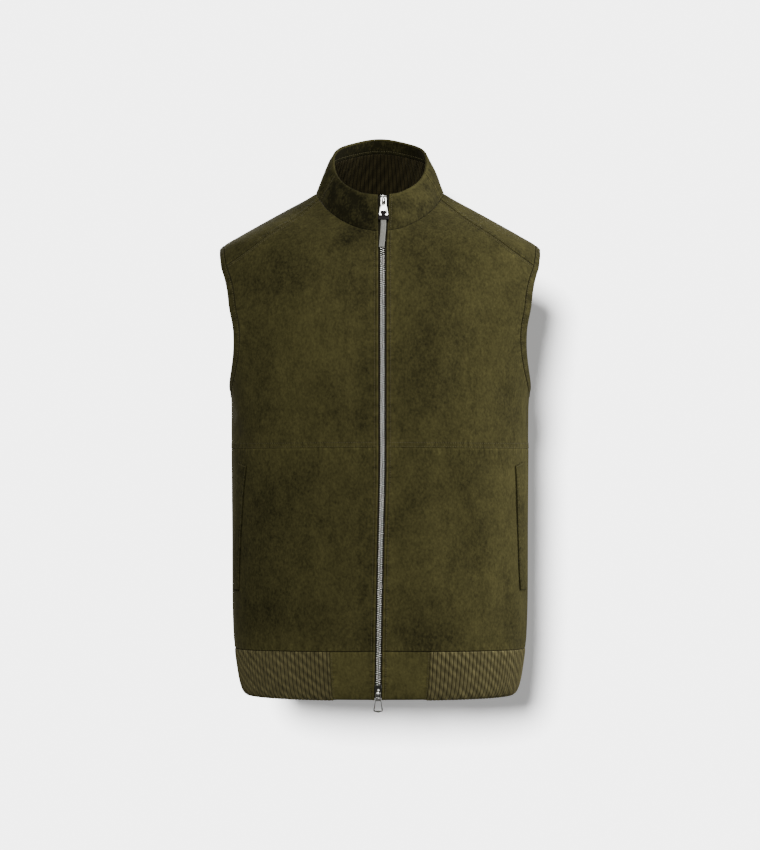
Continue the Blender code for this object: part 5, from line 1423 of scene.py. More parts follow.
@dataclass
class Collar:
    """Stand collar: outer pieces rolled over the rim, and the facing with its piped lower edge."""

    form: GarmentForm
    shop: Shop
    wall: float = 1.8
    roll: float = 1.75
    facing_depth: float = 20.0
    facing_row: float = 3.9
    piping_radius: float = 1.4
    inside: float = -2.3
    zip_row: float = 5.2
    lining_start: float = 14.8
    foot_sink: float = 0.15
    foot_tuck: float = 1.2
    shade_turn: float = -38.0
    shade_width: float = 36.0

    def height(self, up: Array) -> Array:
        """Height beside the zip at each share of the way up the collar."""
        return NECK_SEAM[0][1] * (1 - up) + COLLAR_RIM[0][1] * up

    def inner_turns(self, up: Array, share: Array) -> Array:
        """Turns round the inner collar, from beside one zip tape round the nape to the other."""
        middle = self.form.zip_middle(self.height(up))
        right = self.form.collar_turn(middle + self.lining_start, up)
        left = 360.0 + self.form.collar_turn(middle - self.lining_start, up)
        return right * (1 - share) + left * share

    def zip_turn(self, side: int, up: Array) -> Array:
        """Turn of the edge beside the zip."""
        z = self.height(up)
        return self.form.collar_turn(self.form.zip_middle(z) + side * self.form.zip_half_gap(z), up)

    def tall(self, turn: Array) -> Array:
        """Height of the collar along its own slope."""
        ends = [self.form.collar.place(turn, np.full_like(turn, k)) for k in (0.0, 1.0)]
        return np.linalg.norm(ends[1] - ends[0], axis=-1)

    def facing_bottom(self, turn: Array) -> Array:
        """How far up the collar the facing's lower edge lies."""
        return 1.0 - self.facing_depth / self.tall(turn)

    def outer(self, word: str, zip_side: int, stitching: Stitching) -> None:
        """One outer piece: up the collar, then over the rim on a half circle. Its foot tucks into the seam.

        Args:
            word: which piece it is, as its names end.
            zip_side: 0 for the back, or the side of the front edge.
            stitching: where its stitch row goes.
        """
        form, flip, roll = self.form, zip_side < 0, self.roll
        seam_turn = form.shoulder_turn

        def edges(up: Array) -> tuple[Array, Array]:
            """Turns of both ends at each height."""
            if zip_side:
                return self.zip_turn(zip_side, up), zip_side * seam_turn + 0.0 * up
            return seam_turn + 0.0 * up, 360.0 - seam_turn + 0.0 * up

        first, last = (float(edge) for edge in edges(np.array(0.0)))
        line = Path(form.collar, np.linspace(first, last, 300), np.zeros(300))
        share = spread(line.length, 3.4)
        up = spread(48.0, 3.2)[:, None] + 0.0 * share[None, :]
        start, end = edges(up)
        turn = start * (1 - share) + end * share
        if flip:
            turn, up, share = turn[:, ::-1], up[:, ::-1], share[::-1]
        tall = self.tall(turn)
        up = up * (1.0 - roll / tall)
        base, normal = form.collar.place(turn, up), form.collar.normal(turn, up)
        along_up = unit(form.collar.tangents(turn[-1], up[-1])[1])
        centre = base[-1] - normal[-1] * roll
        arc = np.linspace(0.0, math.pi, 9)[1:, None, None]
        over = centre[None] + normal[-1][None] * roll * np.cos(arc) + along_up[None] * roll * np.sin(arc)
        from_foot = up * tall
        reach, far = (np.abs(share[None, :] - edge) * line.length for edge in (float(flip), float(not flip)))
        near_side = np.minimum(reach, far) + 0 * up
        gap = np.minimum(near_side, from_foot)
        dip = rounding(gap, self.wall, 1.2)
        streak = np.sin(np.radians(turn) * 13.0 + up * 7.0 + np.sin(np.radians(turn) * 5.0) * 1.4)
        clear = (smooth_step(from_foot, 3.0, 12.0) * smooth_step(tall - from_foot, 4.0, 11.0)
                 * smooth_step(np.minimum(reach, far), 5.0, 14.0))
        outer = base + normal * (0.5 * (1.0 + streak) * clear - dip)[..., None]
        inner = base + normal * (dip - self.wall)[..., None]
        tip = over[-1] + (over[-1] - over[-2]) * 1.2
        curl = over - (over - centre[None]) * (rounding(gap[-1], self.wall, 1.2)[None, :, None] / roll) * 0.8
        outer_all = np.concatenate([outer, curl, tip[None]])
        inner_all = np.concatenate([inner, centre[None] + (over - centre[None]) * 0.12, tip[None]])
        close_rims(outer_all, inner_all, rims=RIMS[2:])
        down = unit(form.collar.tangents(turn[0], up[0])[1])
        outer_all[0] = inner_all[0] = base[0] - normal[0] * self.foot_sink - down * self.foot_tuck
        extra = len(arc) + 1

        def padded(values: Array, fill: float | None = None) -> Array:
            """Values with rows added for the rolled rim."""
            last_row = values[-1:] if fill is None else np.full((1, values.shape[1]), fill)
            return np.concatenate([values, np.repeat(last_row, extra, axis=0)])

        beside = near_side < from_foot
        sewn = beside & (reach < far) & bool(zip_side)
        # The collar's nap mark is painted shade on the left front, away from the light, painted light on the
        # streaks' crests with painted shade in their troughs, and lighter along the edges and the rolled rim,
        # partly rubbed nap and partly a painted highlight.
        marks = {"seam_gap": padded(gap, FAR),
                 "seam_run": padded(np.where(beside, from_foot, reach + RUN_STEP)),
                 "row_one": padded(np.where(sewn, self.zip_row, NO_ROW), NO_ROW),
                 "row_two": padded(np.full_like(gap, NO_ROW)), "seam_dark": padded(np.full_like(gap, 0.6)),
                 "seam_clear": padded(smooth_step(np.abs(near_side - from_foot), 0.0, 4.0), 0.0),
                 "nap_and_shade": padded(1.4 * bell(wrapped(turn, self.shade_turn), 0.0, self.shade_width) + 0.5
                               - 0.8 * bell(near_side, 1.7, 1.1) - 0.4 * streak * clear
                               - 0.8 * bell(tall - from_foot, roll, 3.0))}
        self.shop.cloth("suede_collar_" + word, double_wall(outer_all, inner_all), SUEDE, "collar_" + word,
                        flat_size(base), marks)
        if zip_side:
            k = np.abs(reach[0] - self.zip_row).argmin()
            stitching.add_row(outer[3:, k] + normal[3:, k] * 0.05, normal[3:, k])

    def facing(self, stitching: Stitching) -> None:
        """Suede facing inside the rim, with a piped fold and a line of stitches along its foot."""
        form, row = self.form, self.facing_row
        turn = self.inner_turns(np.ones(300), np.linspace(0.0, 1.0, 300))
        bottom = self.facing_bottom(turn)
        depth = np.concatenate([[0.0, 0.25, 0.6, 1.1, 1.7, 2.3, 2.8, 3.2, 3.8, 4.6],
                                np.linspace(5.6, 18.6, 10)])
        up = bottom[None, :] + (1.0 - bottom[None, :]) * (depth / self.facing_depth)[:, None]
        turns = np.broadcast_to(turn[None, :], up.shape)
        base, normal = form.collar.place(turns, up), form.collar.normal(turns, up)
        piping = 0.95 * np.sqrt(np.clip(1.0 - (depth / self.piping_radius - 1.0) ** 2, 0.0, 1.0))
        dent = -0.3 * np.exp(-((depth - row) / 0.6) ** 2)
        dip = rounding(np.minimum(depth, 30.0), 1.2, 0.8)
        outer = base + normal * (self.inside - dip)[:, None, None]
        inner = base + normal * (self.inside - 1.2 - piping - dent + dip)[:, None, None]
        close_rims(outer, inner)
        # The facing's nap mark of 1.85 darkens it all over: painted shade inside the collar.
        marks = {"seam_gap": depth[:, None], "seam_run": run_of(base[0]), "row_one": row, "row_two": NO_ROW,
                 "seam_dark": 1.0, "seam_clear": 1.0, "nap_and_shade": 1.85}
        self.shop.cloth("suede_collar_facing", double_wall(outer, inner), SUEDE, "collar_facing",
                        flat_size(base), {key: np.broadcast_to(m, up.shape) for key, m in marks.items()})
        k = int(np.abs(depth - row).argmin())
        stitching.add_row(inner[k] - normal[k] * 0.05, -normal[k])

    def build(self) -> None:
        """Make both fronts, the back, the facing and the lining."""
        stitching = Stitching()
        for word, side in (("front_left", -1), ("front_right", 1), ("back", 0)):
            self.outer(word, side, stitching)
        self.facing(stitching)
        stitching.make("stitching_collar", self.shop)
        Ribbing().lining(self.form, self.shop, self)


@dataclass
class Frame:
    """A local frame in millimetres: X across, Y into the garment and Z up along its front."""

    origin: Array
    across: Array
    inward: Array
    along: Array

    def place(self, points: Array) -> Array:
        """Local points carried into the garment's own frame."""
        axes = np.stack([self.across, self.inward, self.along])
        return self.origin + np.asarray(points, float) @ axes

    def tilted(self, offset: tuple[float, float, float], lean: float) -> Frame:
        """A frame at a local offset, upright in the world and leaning about X."""
        cosine, sine = math.cos(lean), math.sin(lean)
        return Frame(self.place(np.array(offset)), np.array([1.0, 0.0, 0.0]), np.array([0.0, cosine, sine]),
                     np.array([0.0, -sine, cosine]))


@dataclass(frozen=True)
class TabForm:
    """A pull tab from its pin down: half widths, length, eye, slot."""

    top_half: float
    bottom_half: float
    length: float
    eye: float
    slot_half: float
    slot_low: float
    slot_high: float
    belly: float


Part = tuple[Array, Array, int]


@dataclass
class Zip:
    """The two-way zip: tapes, teeth, sliders and pull tabs. A part is its points, quads and ring size."""

    form: GarmentForm
    shop: Shop
    tape_columns: tuple[float, ...] = (0.15, 0.6, 1.5, 3.0, 4.5, 6.5, 9.0, 11.5, 13.6, 14.0)
    tape_ends: tuple[float, float] = (-648.0, -2.4)
    tooth_pitch: float = 2.9
    tooth_across: tuple[float, ...] = (3.3, 3.12, 2.2, 1.25, 0.65, 0.15, -0.15, -0.28)
    tooth_height: tuple[float, ...] = (0.4, 0.52, 0.58, 0.54, 0.56, 0.54, 0.4, 0.15)
    tooth_depth: tuple[float, ...] = (0.7, 1.0, 1.15, 1.1, 1.1, 1.05, 0.75, 0.3)
    top_z: float = -11.5
    bottom_z: float = -635.0
    slider_reach: float = 7.3
    slider_form: tuple = ((-7.0, 3.0), (-5.6, 3.9), (0.0, 4.35), (3.2, 4.6), (5.6, 4.2), (7.0, 2.6))
    web_form: tuple = ((-4.5, 0.6), (5.8, 0.8))
    plate_places: tuple[float, float] = (-1.65, 5.05)
    plate_thick: float = 1.3
    bail_radius: float = 2.2
    pin_offset: float = 4.2
    pin_radius: float = 0.62
    pin_half: float = 2.2
    tab_half_thick: float = 0.7
    tab_bevel: float = 0.3
    tab_corner: float = 1.8
    top_pin_up: float = 2.5
    bottom_pin_up: float = -4.0
    top_tab: TabForm = TabForm(3.9, 6.3, 25.5, 9.2, 3.7, 23.0, 18.8, 0.0)
    bottom_tab: TabForm = TabForm(3.4, 6.2, 23.0, 5.4, 4.4, 20.9, 9.6, 1.2)
    strap_half: float = 3.55
    strap_thick: float = 0.62
    strap_length: float = 39.2

    def frame_at(self, z: float) -> Frame:
        """Frame on the zip at a height, from points just above and below it."""
        here, above, below = (self.form.front(self.form.zip_middle(h), h)[0] for h in (z, z + 3.0, z - 3.0))
        along = unit(above - below)
        inward = unit(np.cross(along, np.array([1.0, 0.0, 0.0])))
        return Frame(here, unit(np.cross(inward, along)), inward, along)

    def tapes(self) -> None:
        """Both woven tapes, behind the front edges."""
        form = self.form
        z = np.linspace(*self.tape_ends, 220)
        for side, word in SIDES.items():
            columns = np.array(self.tape_columns)[::side]
            x = form.zip_middle(z)[:, None] + side * columns[None, :]
            heights = z[:, None] + 0.0 * x
            points, normal = form.front(x, heights)
            outer, inner = points - normal * 2.75, points - normal * 3.65
            close_rims(outer, inner, points - normal * 3.2)
            self.shop.cloth(f"zip_tape_weave_{word}", double_wall(outer, inner), TAPE, f"zip_tape_{word}",
                            flat_size(points), {}, (np.broadcast_to(columns[None, :], x.shape), heights))

    def tooth(self) -> tuple[Array, Array]:
        """One tooth pointing towards -X: a rounded block with a rounded head that grips past the middle.

        Each ring is a superellipse in depth and height; the rings follow the tooth across.
        """
        cosine, sine = squared(np.arange(10) * math.tau / 10, 2.0 / 3.2)
        across, high, deep = (np.array(row)[:, None]
                              for row in (self.tooth_across, self.tooth_height, self.tooth_depth))
        points = np.stack([across + 0.0 * sine, -deep * cosine, high * sine], -1).reshape(-1, 3)
        return points, grid_quads(8, 10, closed=True)

    def teeth(self) -> None:
        """Teeth along both tapes, each side half a pitch from the other."""
        form = self.form
        z = np.linspace(self.bottom_z + self.slider_reach - 2.0, self.top_z - self.slider_reach + 2.0, 1500)
        points, normal = form.front(form.zip_middle(z), z)
        run = run_of(points)
        shape, quads = self.tooth()
        caps = np.array([list(range(10))[::-1], list(range(70, 80))])
        for side, word in SIDES.items():
            at = np.arange(1.0 + (0.0 if side < 0 else self.tooth_pitch / 2), run[-1] - 1.0, self.tooth_pitch)
            middle, out, ahead = (carried(at + step, run, values)
                                  for step, values in ((0.0, points), (0.0, normal), (1.0, points)))
            along, out = unit(ahead - middle), unit(out)
            across = unit(np.cross(along, out)) * side
            placed = copies(middle - out * 0.9, (across, -out, along), shape)
            faces = [face for kind in (quads, caps)
                     for face in repeated(kind[:, ::side], len(at), len(shape))]
            made = new_object(f"zip_teeth_{word}", placed.reshape(-1, 3), faces)
            self.shop.dress(made, NICKEL, "zip_chain" if side < 0 else "")

    def rounded_plate(self, rows: tuple[tuple[float, float], ...], middle_y: float, thickness: float) -> Part:
        """A plate whose half width follows a smooth curve of its height, its rim rounded all round.

        Rings are superellipses of half width by half thickness, which shrink towards both ends.
        """
        low, high = rows[0][0], rows[-1][0]
        along = (low + high) / 2.0 - (high - low) / 2.0 * np.cos(np.linspace(0.0, math.pi, 25))
        end_gap = np.minimum(along - low, high - along)
        shrink = np.sqrt(np.clip(1.0 - (1.0 - np.clip(end_gap / 0.7, 0.0, 1.0)) ** 2, 0.0, 1.0))
        cosine, sine = squared(np.arange(24) * math.tau / 24, 0.5)
        width = pairs_curve(rows)(along) * (0.86 + 0.14 * shrink)
        depth = thickness / 2.0 * (0.12 + 0.88 * shrink)
        points = np.stack([width[:, None] * cosine, middle_y + depth[:, None] * sine,
                           np.broadcast_to(along[:, None], (25, 24))], -1)
        return points.reshape(-1, 3), grid_quads(25, 24, closed=True), 24

    def swept(self, path: Array, half_width: float, half_thick: float) -> Part:
        """A bar along a path in the YZ plane, its section a superellipse of the given half sizes."""
        across = np.array([1.0, 0.0, 0.0])
        out = np.cross(unit(np.gradient(path, axis=0)), across)
        cosine, sine = squared(np.arange(16) * math.tau / 16, 2.0 / 3.0)
        points = (path[:, None] + across * (half_width * cosine)[None, :, None]
                  + out[:, None] * (half_thick * sine)[None, :, None])
        return points.reshape(-1, 3), grid_quads(len(path), 16, closed=True), 16

    def joined(self, name: str, parts: list[Part], frame: Frame) -> bpy.types.Object:
        """One mesh from closed parts given as rings, with their ends capped, its faces turned outwards."""
        points, faces, offset = [], [], 0
        for part, quads, ring in parts:
            points.append(frame.place(part))
            faces += (quads + offset).tolist()
            last = len(part) - ring
            faces += [[offset + k for k in range(ring)][::-1], [offset + last + k for k in range(ring)]]
            offset += len(part)
        made = new_object(name, np.concatenate(points), faces)
        turn_outwards(made)
        return made

    def slider(self, word: str, z: float, pin_up: float, bail: tuple[float, float], knob: Part) -> Frame:
        """A slider: front and back plates on a web, side rims, and the bail over the tab's pin.

        Args:
            word: which slider it is.
            z: its height on the zip.
            pin_up: how far up it the pin of its tab lies.
            bail: how long the bail is, and how far it stands out from the pin.
            knob: the rounded end above the bail.

        Returns:
            The slider's frame.
        """
        frame = self.frame_at(z)
        parts = [self.rounded_plate(self.slider_form, y, self.plate_thick) for y in self.plate_places]
        parts.append(self.rounded_plate(self.web_form, 1.7, 6.4))
        up = np.linspace(-5.6, 4.6, 14)
        for side in SIDES:
            path = np.stack([side * (pairs_curve(self.slider_form)(up) - 0.45), np.full(14, -1.2), up], -1)
            parts.append(self.swept(path, 0.5, 1.0))
        arc = np.linspace(0.0, math.pi, 15)
        (span, depth), top = bail, pin_up + self.bail_radius
        low = top - span
        crown = np.stack([np.zeros(15), -self.pin_offset - depth * np.sin(arc) - 0.35,
                          (top + low) / 2.0 + span / 2.0 * np.cos(arc)], -1)
        path = np.concatenate([[[0.0, -1.9, top + 0.3], [0.0, -3.0, top + 0.15]], crown,
                               [[0.0, -3.0, low - 0.15], [0.0, -1.9, low - 0.3]]])
        name = "zip_slider_" + word
        self.shop.dress(self.joined(name, parts, frame), DARK_NICKEL, word + "_slider")
        self.shop.dress(self.joined(name + "_bail", [self.swept(path, 1.15, 0.55), knob], frame), NICKEL)
        return frame

    def knob(self, middle: tuple[float, float, float], radius: float, stretch: float = 1.0) -> Part:
        """A rounded knob: circles of latitude, stretched across."""
        t = np.linspace(0.06, math.pi - 0.06, 10)
        angle = np.arange(12) * math.tau / 12
        ring = radius * np.sin(t)[:, None]
        points = np.stack([stretch * ring * np.cos(angle), ring * np.sin(angle),
                           np.broadcast_to(-radius * np.cos(t)[:, None], (10, 12))], -1) * [1.0, 0.8, 0.8]
        return points.reshape(-1, 3) + np.array(middle), grid_quads(10, 12, closed=True), 12

    def tab(self, word: str, form: TabForm, frame: Frame) -> None:
        """A pull tab: a tapered plate with rounded corners, an eye for the bail and a slot, bevelled."""
        corner, name, body = self.tab_corner, "pull_tab_" + word, word + "_pull"
        low_corner = arc_points((form.bottom_half - corner, -form.length + corner), corner, -90.0, -10.0, 6)
        right = [*low_corner, (form.top_half, -form.eye - 1.0), (form.top_half, -1.2),
                 *arc_points((form.top_half - 1.2, -0.3), 1.2, 0.0, 90.0, 4)]
        belly = [(0.0, -form.length - form.belly)] if form.belly else []
        outline = [*belly, *right, *((-x, z) for x, z in reversed(right))]
        slot = rounded_box(form.slot_half, -form.slot_low, -form.slot_high, 0.8)
        if form.belly:
            slot = taper(slot, -form.slot_high, 0.72)
        eye = rounded_box(2.0, -form.eye, -0.85, 0.7)
        points, faces = plate_with_holes(outline, [eye, slot], self.tab_half_thick)
        made = new_object(name, frame.place(points), faces)
        turn_outwards(made)
        bevel = made.modifiers.new("edges", "BEVEL")
        bevel.width, bevel.segments, bevel.limit_method = self.tab_bevel * MM, 3, "ANGLE"
        bevel.angle_limit = math.radians(40.0)
        bevel.harden_normals = False
        self.shop.dress(made, NICKEL, body + "_tab", body)
        angle = np.arange(12) * math.tau / 12
        ring = self.pin_radius * np.stack([np.cos(angle), np.sin(angle)], -1)
        pin = np.concatenate([np.stack([np.full(12, x), ring[:, 0], ring[:, 1] - 0.1], -1)
                              for x in np.linspace(-self.pin_half, self.pin_half, 6)])
        bar = self.joined(name + "_pin", [(pin, grid_quads(6, 12, closed=True), 12)], frame)
        self.shop.dress(bar, NICKEL, body=body)

    def loop(self, frame: Frame) -> None:
        """Leather loop: a band below the tab, a strip on each side of its end and a cap through its slot."""
        under, slot = -self.top_tab.length - 0.3, -self.top_tab.slot_low
        half_width, half_thick, sag = 7.3, 1.75, 0.35
        x = np.linspace(-1.0, 1.0, 25)
        bar_low, bar_high = under - 6.2, under + 0.4
        cosine, sine = squared(np.linspace(0.0, math.tau, 33)[:-1], 2.0 / 3.4)
        shrink = np.sqrt(np.clip(1.0 - np.clip((np.abs(x) - 0.86) / 0.14, 0.0, 1.0) ** 2, 0.02, 1.0))[:, None]
        middle = (bar_low + bar_high) / 2.0 + (sag * (1.0 - x ** 2))[:, None]
        points = np.stack([np.broadcast_to((x * half_width)[:, None], (25, 32)), half_thick * shrink * sine,
                           middle + (bar_high - bar_low) / 2.0 * shrink * cosine], -1)
        parts = [(points.reshape(-1, 3), grid_quads(25, 32, closed=True), 32)]
        for side in SIDES:
            path = np.stack([np.zeros(12), side * (1.3 - 0.25 * np.linspace(0.0, 1.0, 12) ** 2),
                             np.linspace(under - 1.0, slot + 1.8, 12)], -1)
            parts.append(self.swept(path, 2.5, 0.55))
        arc = np.linspace(0, math.pi, 9)
        top = np.stack([np.zeros(9), 1.25 * np.cos(arc), slot + 1.7 + 0.9 * np.sin(arc)], -1)
        parts.append(self.swept(top, 2.5, 0.5))
        self.shop.dress(self.joined("leather_loop", parts, frame), HIDE, "top_pull_loop", "top_pull")

    def strap(self, frame: Frame) -> None:
        """The plain grey strap that the loop holds, its edges rounded and its length slightly curved."""
        s = np.linspace(0.0, 1.0, 60)
        across = np.linspace(-1.0, 1.0, 15)
        middle_x = -2.3 * s ** 1.4 + 0.5 * np.sin(s * 5.0) * 0.3
        lift = (0.25 * np.sin(s * 7.0 + 0.6))[::-1, None]
        half_thick = self.strap_thick * np.sqrt(np.clip(1.0 - np.abs(across) ** 6, 0.0, 1.0))[None, :]
        x = (middle_x[:, None] + self.strap_half * across[None, :])[::-1]
        z = (-self.top_tab.length - 0.3 - 5.6 - self.strap_length * s)[::-1][:, None] + 0.0 * x
        front, rear = (np.stack([x, lift + way * half_thick + 0 * z, z], -1) for way in (-1, 1))
        close_rims(front, rear)
        points, quads, source = double_wall(front, rear)
        strap = new_object("woven_pull_strap", frame.place(points), quads)
        set_map(strap, (self.strap_half * across[None, :] + 0 * z).ravel()[source], z.ravel()[source])
        self.shop.dress(strap, STRAP, "top_pull_strap", "top_pull")

    def build(self) -> None:
        """Make the whole zip."""
        self.tapes()
        self.teeth()
        top = self.slider("top", self.top_z, self.top_pin_up, (8.4, 1.8),
                          self.knob((-0.6, -2.6, 6.2), 2.0, 2.3))
        bottom = self.slider("bottom", self.bottom_z, self.bottom_pin_up, (4.4, 1.36),
                             self.knob((0.0, -3.6, self.bottom_pin_up + 4.2), 1.9))
        low_z = self.top_z + self.top_pin_up - 66.0
        points, normal = self.form.front(self.form.zip_middle(low_z), low_z)
        pin = (0.0, -self.pin_offset, self.top_pin_up)
        hang = points + normal * 3.0 - top.place(np.array(pin))
        pull = top.tilted(pin, -math.atan2(-hang[1], -hang[2]))
        self.tab("top", self.top_tab, pull)
        self.loop(pull)
        self.strap(pull)
        low = bottom.tilted((0.0, -self.pin_offset, self.bottom_pin_up), 0.0)
        self.tab("bottom", self.bottom_tab, low)


def turn_outwards(made: bpy.types.Object) -> None:
    """Recalculate a closed mesh's normals so that its faces point outwards."""
    shape = bmesh.new()
    shape.from_mesh(made.data)
    bmesh.ops.recalc_face_normals(shape, faces=shape.faces)
    shape.to_mesh(made.data)
    shape.free()
    made.data.shade_smooth()


def arc_points(middle: tuple[float, float], radius: float, start: float, end: float, count: int) -> list:
    """Points along an arc, its angles in degrees from +X."""
    angle = np.radians(np.linspace(start, end, count))
    return [(middle[0] + radius * math.cos(a), middle[1] + radius * math.sin(a)) for a in angle]


def rounded_box(half: float, low: float, high: float, radius: float) -> list:
    """Outline of a rounded box about X = 0, anticlockwise."""
    right, left = half - radius, -half + radius
    corners = ((right, low + radius), (right, high - radius), (left, high - radius), (left, low + radius))
    return [point for k, corner in enumerate(corners)
            for point in arc_points(corner, radius, 90.0 * k - 90.0, 90.0 * k, 5)]


def taper(outline: list, top: float, share: float) -> list:
    """An outline narrowed towards its top."""
    low = min(z for _, z in outline)
    return [(x * (1.0 - (1.0 - share) * (z - low) / (top - low)), z) for x, z in outline]


def plate_with_holes(outline: list, holes: list[list], half_thick: float) -> tuple[Array, list]:
    """A flat plate with holes: its outline filled by triangles, then given a front, a back and rims."""
    loops = [outline, *holes]
    flat = [Vector(p) for loop in loops for p in loop]
    edges, start = [], 0
    for loop in loops:
        edges += [(start + k, start + (k + 1) % len(loop)) for k in range(len(loop))]
        start += len(loop)
    made = delaunay_2d_cdt(flat, edges, [], 1, 1e-6)
    points = np.array([tuple(p) for p in made[0]])
    kept = [tuple(f) for f in made[2] if not any(holds(h, points[list(f)].mean(axis=0)) for h in holes)]
    count = len(points)
    front = np.stack([points[:, 0], np.full(count, -half_thick), points[:, 1]], 1)
    back = front * [1.0, -1.0, 1.0]
    used = {(i, j) for face in kept for i, j in zip(face, face[1:] + face[:1])}
    faces = [list(f) for f in kept] + [[i + count for i in reversed(f)] for f in kept]
    faces += [[i, i + count, j + count, j] for i, j in sorted(used) if (j, i) not in used]
    return np.concatenate([front, back]), faces


def holds(loop: list, place: Array) -> bool:
    """Whether an outline holds a place, by counting crossings to one side."""
    ring = np.array(loop)
    after = np.roll(ring, -1, axis=0)
    spans = (ring[:, 1] > place[1]) != (after[:, 1] > place[1])
    rise = np.where(after[:, 1] == ring[:, 1], 1.0, after[:, 1] - ring[:, 1])
    cross = ring[:, 0] + (place[1] - ring[:, 1]) * (after[:, 0] - ring[:, 0]) / rise
    return bool(np.sum(spans & (place[0] < cross)) % 2)


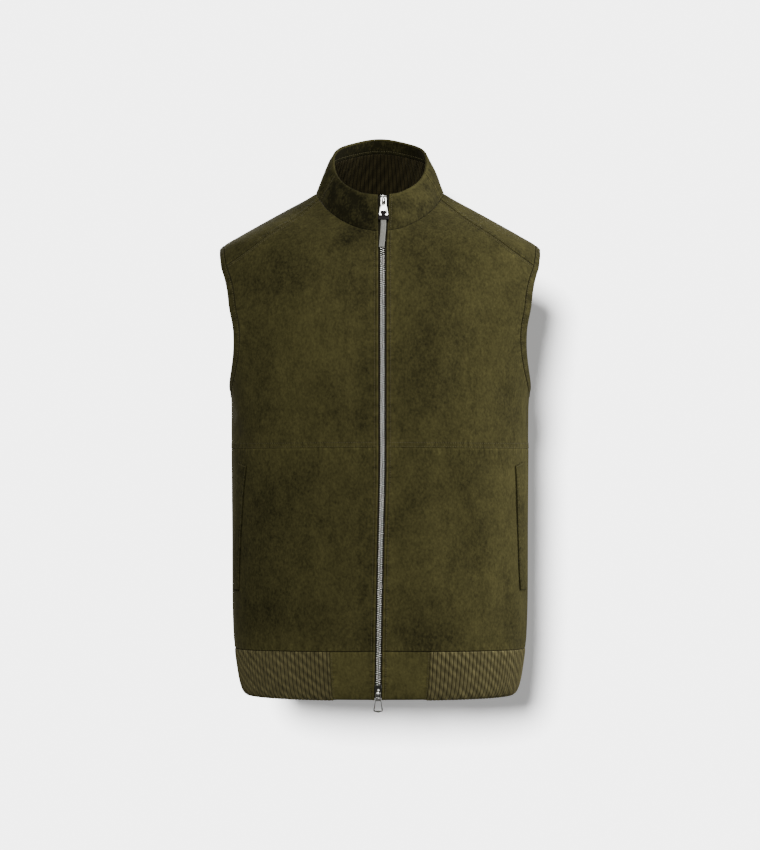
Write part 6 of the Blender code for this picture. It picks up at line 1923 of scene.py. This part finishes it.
@dataclass
class Studio:
    """Camera, pale wall and floor, and soft lights.

    A soft box's row is its name, place, size and level, and a card's its name and place.
    """

    soft_boxes: tuple = (("key_right", (2.45, -0.3, 0.55), (1.3, 1.7), 1.05),
                         ("front_soft", (-0.45, -3.3, 1.35), (1.6, 1.2), 0.6),
                         ("rear_soft", (-0.6, 3.4, 1.2), (2.0, 2.0), 0.75))
    cards: tuple = (("low", (0.5, -4.4, 0.4)), ("high", (0.4, -3.0, 3.0)))
    card_size: tuple[float, float] = (1.3, 2.4)
    camera_distance: float = 4.0
    camera_height: float = -0.2987
    lens: float = 129.3
    wall_y: float = 0.33
    floor_z: float = -1.0
    wall_glow: float = 0.28
    wall_sun: float = 16.5
    sun_side: float = 8.1
    sun_up: float = 10.2
    sun_angle: float = 8.2
    card_glow: float = 9.5
    tooth_glow: float = 3.2
    world: float = 0.15

    def camera(self) -> None:
        """Level camera in front of the garment."""
        data = bpy.data.cameras.new("camera")
        data.lens, data.sensor_width, data.clip_end = self.lens, 36.0, 50.0
        made = bpy.data.objects.new("camera", data)
        bpy.context.scene.collection.objects.link(made)
        made.location = (0.0, -self.camera_distance, self.camera_height)
        made.rotation_euler = (math.pi / 2.0, 0.0, 0.0)
        bpy.context.scene.camera = made

    def sheet(self, name: str, corners: list[tuple[float, float, float]],
              material: bpy.types.Material) -> bpy.types.Object:
        """A flat backdrop sheet that lights nothing else."""
        mesh = bpy.data.meshes.new(name)
        mesh.from_pydata(corners, [], [(0, 1, 2, 3)])
        mesh.materials.append(material)
        made = bpy.data.objects.new(name, mesh)
        bpy.context.scene.collection.objects.link(made)
        made.visible_diffuse = made.visible_glossy = made.visible_transmission = made.visible_shadow = False
        return made

    def backdrop(self) -> list[bpy.types.Object]:
        """Pale wall that is clear from behind, and a pale floor below the picture."""
        material = bpy.data.materials.new("pale_backdrop")
        material.use_nodes = True
        net, shader = Net(material.node_tree), material.node_tree.nodes["Principled BSDF"]
        net.feed(shader, {"Base Color": (0.9, 0.9, 0.9, 1.0), "Roughness": 1.0, "Specular IOR Level": 0.0,
                          "Emission Color": (1.0, 1.0, 1.0, 1.0), "Emission Strength": self.wall_glow})
        clear = net.node("BsdfTransparent")
        facing = net.node("NewGeometry").outputs["Backfacing"]
        mixed = net.node("MixShader", {0: facing, 1: shader.outputs[0], 2: clear.outputs[0]})
        net.feed(material.node_tree.nodes["Material Output"], {"Surface": mixed.outputs[0]})
        y, low = self.wall_y, self.floor_z
        wall = self.sheet("backdrop_wall", [(-6, y, -3), (6, y, -3), (6, y, 5), (-6, y, 5)], material)
        floor = self.sheet("studio_floor", [(-6, -6, low), (6, -6, low), (6, 6, low), (-6, 6, low)], material)
        return [wall, floor]

    def area(self, name: str, place: tuple[float, float, float], size: tuple[float, float], level: float,
             skip: list[bpy.types.Object]) -> None:
        """A soft box aimed at the garment's middle; level is a white card's brightness under it."""
        data = bpy.data.lights.new(name, "AREA")
        data.shape, data.size, data.size_y = "RECTANGLE", *size
        aim = Vector((0.0, 0.0, -0.28)) - Vector(place)
        data.energy = level * math.pi ** 2 * aim.length_squared
        self.link(name, data, Vector(place), aim, skip, "EXCLUDE")

    def metal_cards(self, metal: list[bpy.types.Object]) -> None:
        """Tall white cards behind and above the camera that only the metal mirrors."""
        teeth = [piece for piece in metal if piece.name.startswith("zip_teeth")]
        others = [piece for piece in metal if piece not in teeth]
        for kind, pieces, glow in (("teeth", teeth, self.tooth_glow), ("metal", others, self.card_glow)):
            for name, place in self.cards:
                data = bpy.data.lights.new(f"{kind}_card_{name}", "AREA")
                data.shape, data.size, data.size_y = "RECTANGLE", *self.card_size
                data.energy = glow * math.pi * data.size * data.size_y
                aim = Vector((0.0, 0.0, -0.3)) - Vector(place)
                self.link(data.name, data, Vector(place), aim, pieces, "INCLUDE")

    def link(self, name: str, data: bpy.types.Light, place: Vector, aim: Vector,
             chosen: list[bpy.types.Object], state: str) -> None:
        """Add a light and say which pieces it skips or keeps to."""
        made = bpy.data.objects.new(name, data)
        bpy.context.scene.collection.objects.link(made)
        made.location = place
        made.rotation_euler = aim.to_track_quat("-Z", "Y").to_euler()
        receivers = bpy.data.collections.new(name + "_receivers")
        for item in chosen:
            receivers.objects.link(item)
        made.light_linking.receiver_collection = receivers
        for entry in receivers.collection_objects:
            entry.light_linking.link_state = state

    def build(self, metal: list[bpy.types.Object]) -> None:
        """Set up the studio round the finished pieces."""
        self.camera()
        stage = self.backdrop()
        self.metal_cards(metal)
        for row in self.soft_boxes:
            self.area(*row, stage)
        sun = bpy.data.lights.new("wall_sun", "SUN")
        sun.energy, sun.angle = self.wall_sun, math.radians(self.sun_angle)
        aim = Vector((math.tan(math.radians(self.sun_side)), 1.0, -math.tan(math.radians(self.sun_up))))
        self.link("wall_sun", sun, Vector((-0.4, -4.0, 0.4)), aim, stage, "INCLUDE")
        world = bpy.data.worlds.new("studio_air")
        world.use_nodes = True
        net = Net(world.node_tree)
        seen = net.node("LightPath").outputs["Is Camera Ray"]
        strength = net.math("ADD", self.world, net.math("MULTIPLY", seen, 5.0))
        net.feed(world.node_tree.nodes["Background"], {"Color": (1.0, 1.0, 1.0, 1.0), "Strength": strength})
        bpy.context.scene.world = world


def main() -> None:
    """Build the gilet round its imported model, and the studio round the gilet."""
    logging.basicConfig(level=logging.INFO, format="%(message)s")
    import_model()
    form, shop = GarmentForm(), Shop()
    Panels(form, shop).build()
    Ribbing(wall=3.5).hem(form, shop)
    Collar(form, shop).build()
    Zip(form, shop).build()
    Studio().build(shop.metal)


if __name__ == "__main__":
    main()
